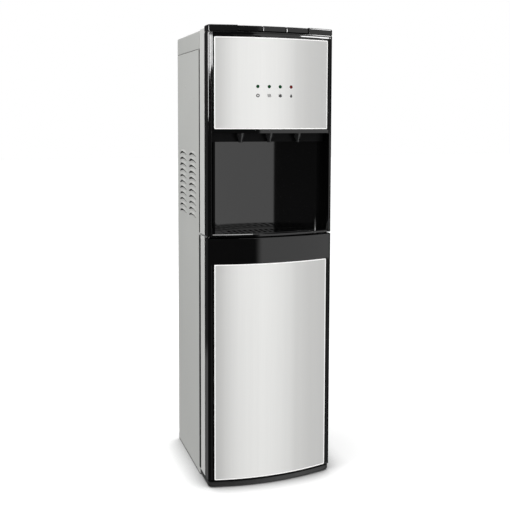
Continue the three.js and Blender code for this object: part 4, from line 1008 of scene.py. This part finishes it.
def make_deck():
    back = MOULDING_BACK
    side = KEY_SPAN + PIT_WALL
    pit = prism_z(key_plan(-side, side, KEY_WELL - 2.8, back), PIT_BOTTOM, DECK_BOTTOM + 2)
    cheeks = prism_z(key_plan(-side, side, WALL - 1, back), DECK_BOTTOM, HEIGHT - 1)
    trough = prism_z(key_plan(-KEY_SPAN, KEY_SPAN, KEY_WELL - 0.4, back - 2), PIT_BOTTOM + 2, HEIGHT + 5)
    flare = bow(KEY_SPAN) + 1.2
    right = [(KEY_SPAN, flare), (KEY_SPAN, back - 2)]
    ledge = [*bow_line(-KEY_SPAN - 6.2, KEY_SPAN + 6.2, -5, 16), *right, *mirrored(right)]
    hole = 2 * STEM_HALF
    holes = [block(x - 7, x + 7, STEM_Y - hole, STEM_Y + hole, PIT_BOTTOM - 2, PIT_BOTTOM + 4)
             for x in KEY_MIDDLES]
    rod = prism_x(circle(*KEY_AXIS, KEY_PIVOT, 16), -KEY_SPAN - 3, KEY_SPAN + 3)
    opening = prism_z(ledge, DECK_BOTTOM + 1.6, HEIGHT + 5)
    deck = cut(join(deck_block(), pit, cheeks), trough, opening, *holes, rod)
    piece("key_deck_moulding", deck, "gloss_black", "cabinet", "key_deck", bevel=0.45, segments=3,
          crease=FINE_CREASE, finish="key_black")


def chamfered_key_plan(x0, x1, setback, back):
    front = bow_line(x0 + KEY_CHAMFER, x1 - KEY_CHAMFER, setback, 16)
    left = (x0, bow(x0, setback) + KEY_CHAMFER)
    right = (x1, bow(x1, setback) + KEY_CHAMFER)
    return [left, *front, right, (x1, back), (x0, back)]


def lock_seat():
    """Shallow seat in the hot key's top, as long as the child lock and its travel."""
    x0, x1 = ends_of("child_lock", X)
    y0, y1 = ends_of("child_lock", Y)
    return block(x0 - GAP, x1 + LOCK_TRAVEL + GAP, y0 - GAP, y1 + GAP, KEY_TOP - 1, KEY_TOP + 1)


def make_keys():
    back = COLLAR_FRONT - 3.2
    for node, (left, right), middle in zip(KEYS, KEY_BOUNDS, KEY_MIDDLES):
        x0, x1 = left + KEY_CLEAR, right - KEY_CLEAR
        outer = padded_prism(chamfered_key_plan(x0, x1, KEY_SETBACK, back), KEY_BOTTOM, KEY_TOP, 1.6)
        under = prism_z(key_plan(x0 + 2, x1 - 2, KEY_SETBACK + 2, back - 2), KEY_BOTTOM - 1, KEY_TOP - 2)
        stem = block(middle - STEM_HALF, middle + STEM_HALF, STEM_Y - STEM_HALF, STEM_Y + STEM_HALF,
                     PIT_BOTTOM - 8, KEY_TOP - 1)
        barrel = prism_x(circle(*KEY_AXIS, KEY_BARREL), x0, x1)
        tools = [prism_x(circle(*KEY_AXIS, KEY_PIVOT), x0 - 1, x1 + 1)]
        if node == "key_hot":
            tools.append(lock_seat())
        mesh = cut(join(cut(outer, under), stem, barrel), *tools)
        piece(f"{node}_cap", mesh, "gloss_black", node, node, bevel=0.8, segments=3, finish="key_black")


# ------ door
def door_depth(side, z):
    """Stiles beside the steel panel, plain corners at both ends and rounded upper and lower edges."""
    share = blend_of(z, DOOR_BOTTOM + 3, DOOR_BOTTOM + 7)
    share *= 1 - blend_of(z, DOOR_PANEL_TOP - 10, DOOR_PANEL_TOP + 2)
    lower_edge = profile_depth(DOOR_EDGE_PROFILE, z - DOOR_BOTTOM)
    upper_edge = profile_depth(DOOR_EDGE_PROFILE, DOOR_TOP - z) * 0.6
    return max(side_depth(side, share), lower_edge, upper_edge)


def make_door():
    edge = [step for step, _ in DOOR_EDGE_PROFILE]
    low = [DOOR_BOTTOM + step for step in (*edge, 3, 4, 5, 6, 7)]
    rise = spread(DOOR_BOTTOM + 20, DOOR_PANEL_TOP - 14, 5)
    turn = spread(DOOR_PANEL_TOP - 10, DOOR_PANEL_TOP + 2, 4)[1:]
    high = [DOOR_TOP - step for step in (30, 3, *reversed(edge))]
    outer = bowed_block(door_depth, [*low, *rise, *turn, *high])
    plan = hollow_plan(MOULDING_BACK + 1)
    hollow = prism_z(plan, DOOR_BOTTOM + WALL, CAP_BOTTOM)
    recess = prism_z(plan, CAP_BOTTOM + WALL, DOOR_TOP + 1)
    seat = bow_strip(PANEL_HALF + RECESS, -4, SKIN + 0.5, DOOR_PANEL_BOTTOM - GAP, DOOR_PANEL_TOP + 2)
    piece("door_frame_moulding", cut(outer, hollow, recess, seat), "gloss_black", "door", "door_frame",
          bevel=0.6, segments=3, crease=FINE_CREASE)


# ------ base
def base_block():
    """Bowed pan, open below, with a rounded lower edge and notches for the side panels' front edges."""
    half = HALF - 1.0
    back = ends_of("base_pan", Y)[HIGH]
    rounded = [(PLINTH_BOTTOM + PLINTH_ROUND * (1 - math.cos(math.radians(a))),
                PLINTH_ROUND * (1 - math.sin(math.radians(a)))) for a in range(0, 91, 15)]
    outer = ringed(half, back, 2, FRONT_CORNER + 3, [*rounded, (PLINTH_TOP, 0)])
    hollow = prism_z(front_plan(half - 4, back - 4, 6, INNER_CORNER), PLINTH_BOTTOM - 1, PLINTH_TOP - 3)
    notches = [side_block(side, 0, -11.8, CABINET_FRONT - GAP, CABINET_FRONT + 1.5, PLINTH_BOTTOM - 1,
                          PLINTH_TOP + 1) for side, _ in SIDES]
    return cut(outer, hollow, *notches)


def make_base():
    back = ends_of("base_pan", Y)[HIGH]
    ribs = [block(x - 1, x + 1, bow(x, 4), back - 1, PLINTH_BOTTOM, PLINTH_TOP - 1) for x in RIB_X]
    rails = [block(x - 4, x + 4, CABINET_FRONT + 17, CABINET_BACK - 30, PLINTH_TOP - 1, PLINTH_TOP + 4)
             for x in RAIL_X]
    spots = [(middle_of(foot, X), middle_of(foot, Y)) for foot in FEET]
    pads = [rod_z(x, y, 11, FOOT_SEAT, PLINTH_TOP - 1, 32) for x, y in spots]
    sockets = [rod_z(x, y, 5.3, FOOT_SEAT - 1, 9.5) for x, y in spots]
    pan = cut(join(base_block(), *ribs, *rails, *pads), *sockets)
    piece("base_pan_moulding", pan, "matt_black", "cabinet", "base_pan", bevel=0.9, segments=3,
          finish="plinth_grain")


# ------ studio
def floor_finish():
    """Matt white, with a painted contact shadow: darker where something stands close to it."""
    material, tree, shader = new_shader("studio_floor_finish")
    shader.inputs["Roughness"].default_value = 0.9
    shader.inputs["Specular IOR Level"].default_value = 0.0
    near = node_of(tree, "ShaderNodeAmbientOcclusion", samples=8, in_Distance=0.07)
    painted_contact_shadow = ramp_of(tree, near.outputs["AO"], (0.35, (0.35, 0.35, 0.35)), (0.95, (0.94, 0.94, 0.94)))
    tree.links.new(painted_contact_shadow, shader.inputs["Base Color"])
    return material


def make_floor():
    reach = 14.0
    bm = bmesh.new()
    corners = ((-reach, -reach), (reach, -reach), (reach, reach), (-reach, reach))
    bm.faces.new([bm.verts.new((x, y, 0)) for x, y in corners])
    plane = bpy.data.meshes.new("floor")
    bm.to_mesh(plane)
    bm.free()
    plane.materials.append(floor_finish())
    floor = bpy.data.objects.new("studio_floor", plane)
    bpy.context.collection.objects.link(floor)
    floor.visible_glossy = False
    floor.visible_diffuse = False


# What gloss sees: a card to the right, whose left edge is softer below, and a faint low card at the rear
# left. Edges are degrees to the right of straight in front, heights the sine of the angle below level.
CARD_EDGE, CARD_SOFT_EDGE, CARD_END, CARD_SOFT_BELOW = (10.4, 11.4), (8.0, 13.0), (57, 62), (0.142, 0.152)
LOW_CARD_EDGE, LOW_CARD_TOP = (-120, -140), (0.27, 0.30)
CARD_LIGHT, LOW_CARD_LIGHT, DARK_LIGHT = 1.2, 0.2, 0.05
# What matt surfaces see: soft light that grows with height.
AMBIENT_RISE, AMBIENT_LOW, AMBIENT_HIGH = (-0.25, 0.35), 0.5, 1.2


def mirrored_light(tree, azimuth, sunk):
    soft = smooth_step(tree, sunk, *CARD_SOFT_BELOW)
    edges = [smooth_step(tree, azimuth, *edge) for edge in (CARD_EDGE, CARD_SOFT_EDGE)]
    end = smooth_step(tree, azimuth, *CARD_END, CARD_LIGHT, 0.0)
    card = maths(tree, "MULTIPLY", choose(tree, soft, *edges), end)
    below = smooth_step(tree, sunk, *LOW_CARD_TOP, 0.0, LOW_CARD_LIGHT)
    low_card = maths(tree, "MULTIPLY", smooth_step(tree, azimuth, *LOW_CARD_EDGE), below)
    return maths(tree, "ADD", maths(tree, "ADD", card, low_card), DARK_LIGHT)


def make_world():
    """White to the camera, soft all round for matt surfaces, and cards on dark for gloss."""
    world = bpy.data.worlds.new("studio")
    bpy.context.scene.world = world
    world.use_nodes = True
    tree = world.node_tree
    tree.nodes.clear()
    path = node_of(tree, "ShaderNodeLightPath")
    place = node_of(tree, "ShaderNodeTexCoord")
    split = node_of(tree, "ShaderNodeSeparateXYZ")
    tree.links.new(place.outputs["Generated"], split.inputs[0])
    height = split.outputs["Z"]
    turn = maths(tree, "ARCTAN2", split.outputs["X"], maths(tree, "MULTIPLY", split.outputs["Y"], -1.0))
    azimuth = maths(tree, "MULTIPLY", turn, math.degrees(1))
    gloss = mirrored_light(tree, azimuth, maths(tree, "MULTIPLY", height, -1.0))
    ambient = smooth_step(tree, height, *AMBIENT_RISE, AMBIENT_LOW, AMBIENT_HIGH)
    light = choose(tree, path.outputs["Is Glossy Ray"], ambient, gloss)
    shade = node_of(tree, "ShaderNodeBackground", in_Color=(1, 1, 1, 1))
    tree.links.new(choose(tree, path.outputs["Is Camera Ray"], light, 1.0), shade.inputs["Strength"])
    out = node_of(tree, "ShaderNodeOutputWorld")
    tree.links.new(shade.outputs[0], out.inputs["Surface"])


# Softboxes: name, place, target, width and height, radiance. They shine on matt surfaces.
SHINING = (
    ("top_light", (0.0, -0.4, 3.2), (0, 0, 0), (2.6, 2.6), 0.5),
    ("front_light", (0.2, -3.0, 0.45), (0, 0, 0.35), (2.4, 0.8), 4.7),
    ("side_light", (-1.6, -0.3, 1.9), (-0.15, 0, 0.9), (0.9, 0.9), 7),
)
# These are only mirrored in gloss, where they draw narrow lines.
MIRRORED = (
    ("stile_strip", (-1.72, -0.9, 0.97), (-0.14, -0.16, 0.95), (0.4, 0.2), 18),
    ("key_strip", (-1.72, -0.9, 1.27), (-0.14, -0.16, 1.04), (0.5, 0.4), 34),
    ("rail_strip", (1.79, -1.40, 2.42), (0.13, -0.15, 1.02), (0.9, 0.3), 24),
    ("tray_strip", (0.0, -0.5, 3.0), (0, -0.15, 0.58), (0.9, 0.5), 9),
)


def add_lamp(name, place, target, size, radiance, shines):
    data = bpy.data.lights.new(name, "AREA")
    data.shape = "RECTANGLE"
    data.size, data.size_y = size
    data.energy = radiance * math.pi * size[0] * size[1]
    lamp = bpy.data.objects.new(name, data)
    lamp.location = place
    lamp.rotation_mode = "QUATERNION"
    lamp.rotation_quaternion = (Vector(target) - Vector(place)).to_track_quat("-Z", "Y")
    lamp.visible_camera = False
    lamp.visible_diffuse = shines
    lamp.visible_glossy = not shines
    bpy.context.collection.objects.link(lamp)


def make_studio():
    """Soft light from above, in front and from the left; narrow strips draw the lines in the gloss."""
    make_floor()
    make_world()
    for lamp in SHINING:
        add_lamp(*lamp, shines=True)
    for lamp in MIRRORED:
        add_lamp(*lamp, shines=False)


# ------ assembly
make_camera()
dress_cad_nodes()
make_bezel()
make_skins()
make_lenses()
make_marks()
make_collar()
make_cover()
make_seam_shade()
make_louvre_shade()
make_fasteners()
make_bay()
make_nozzles()
make_tray()
make_grille()
make_deck()
make_keys()
make_door()
make_base()
make_studio()
bpy.context.scene.view_settings.view_transform = "Standard"
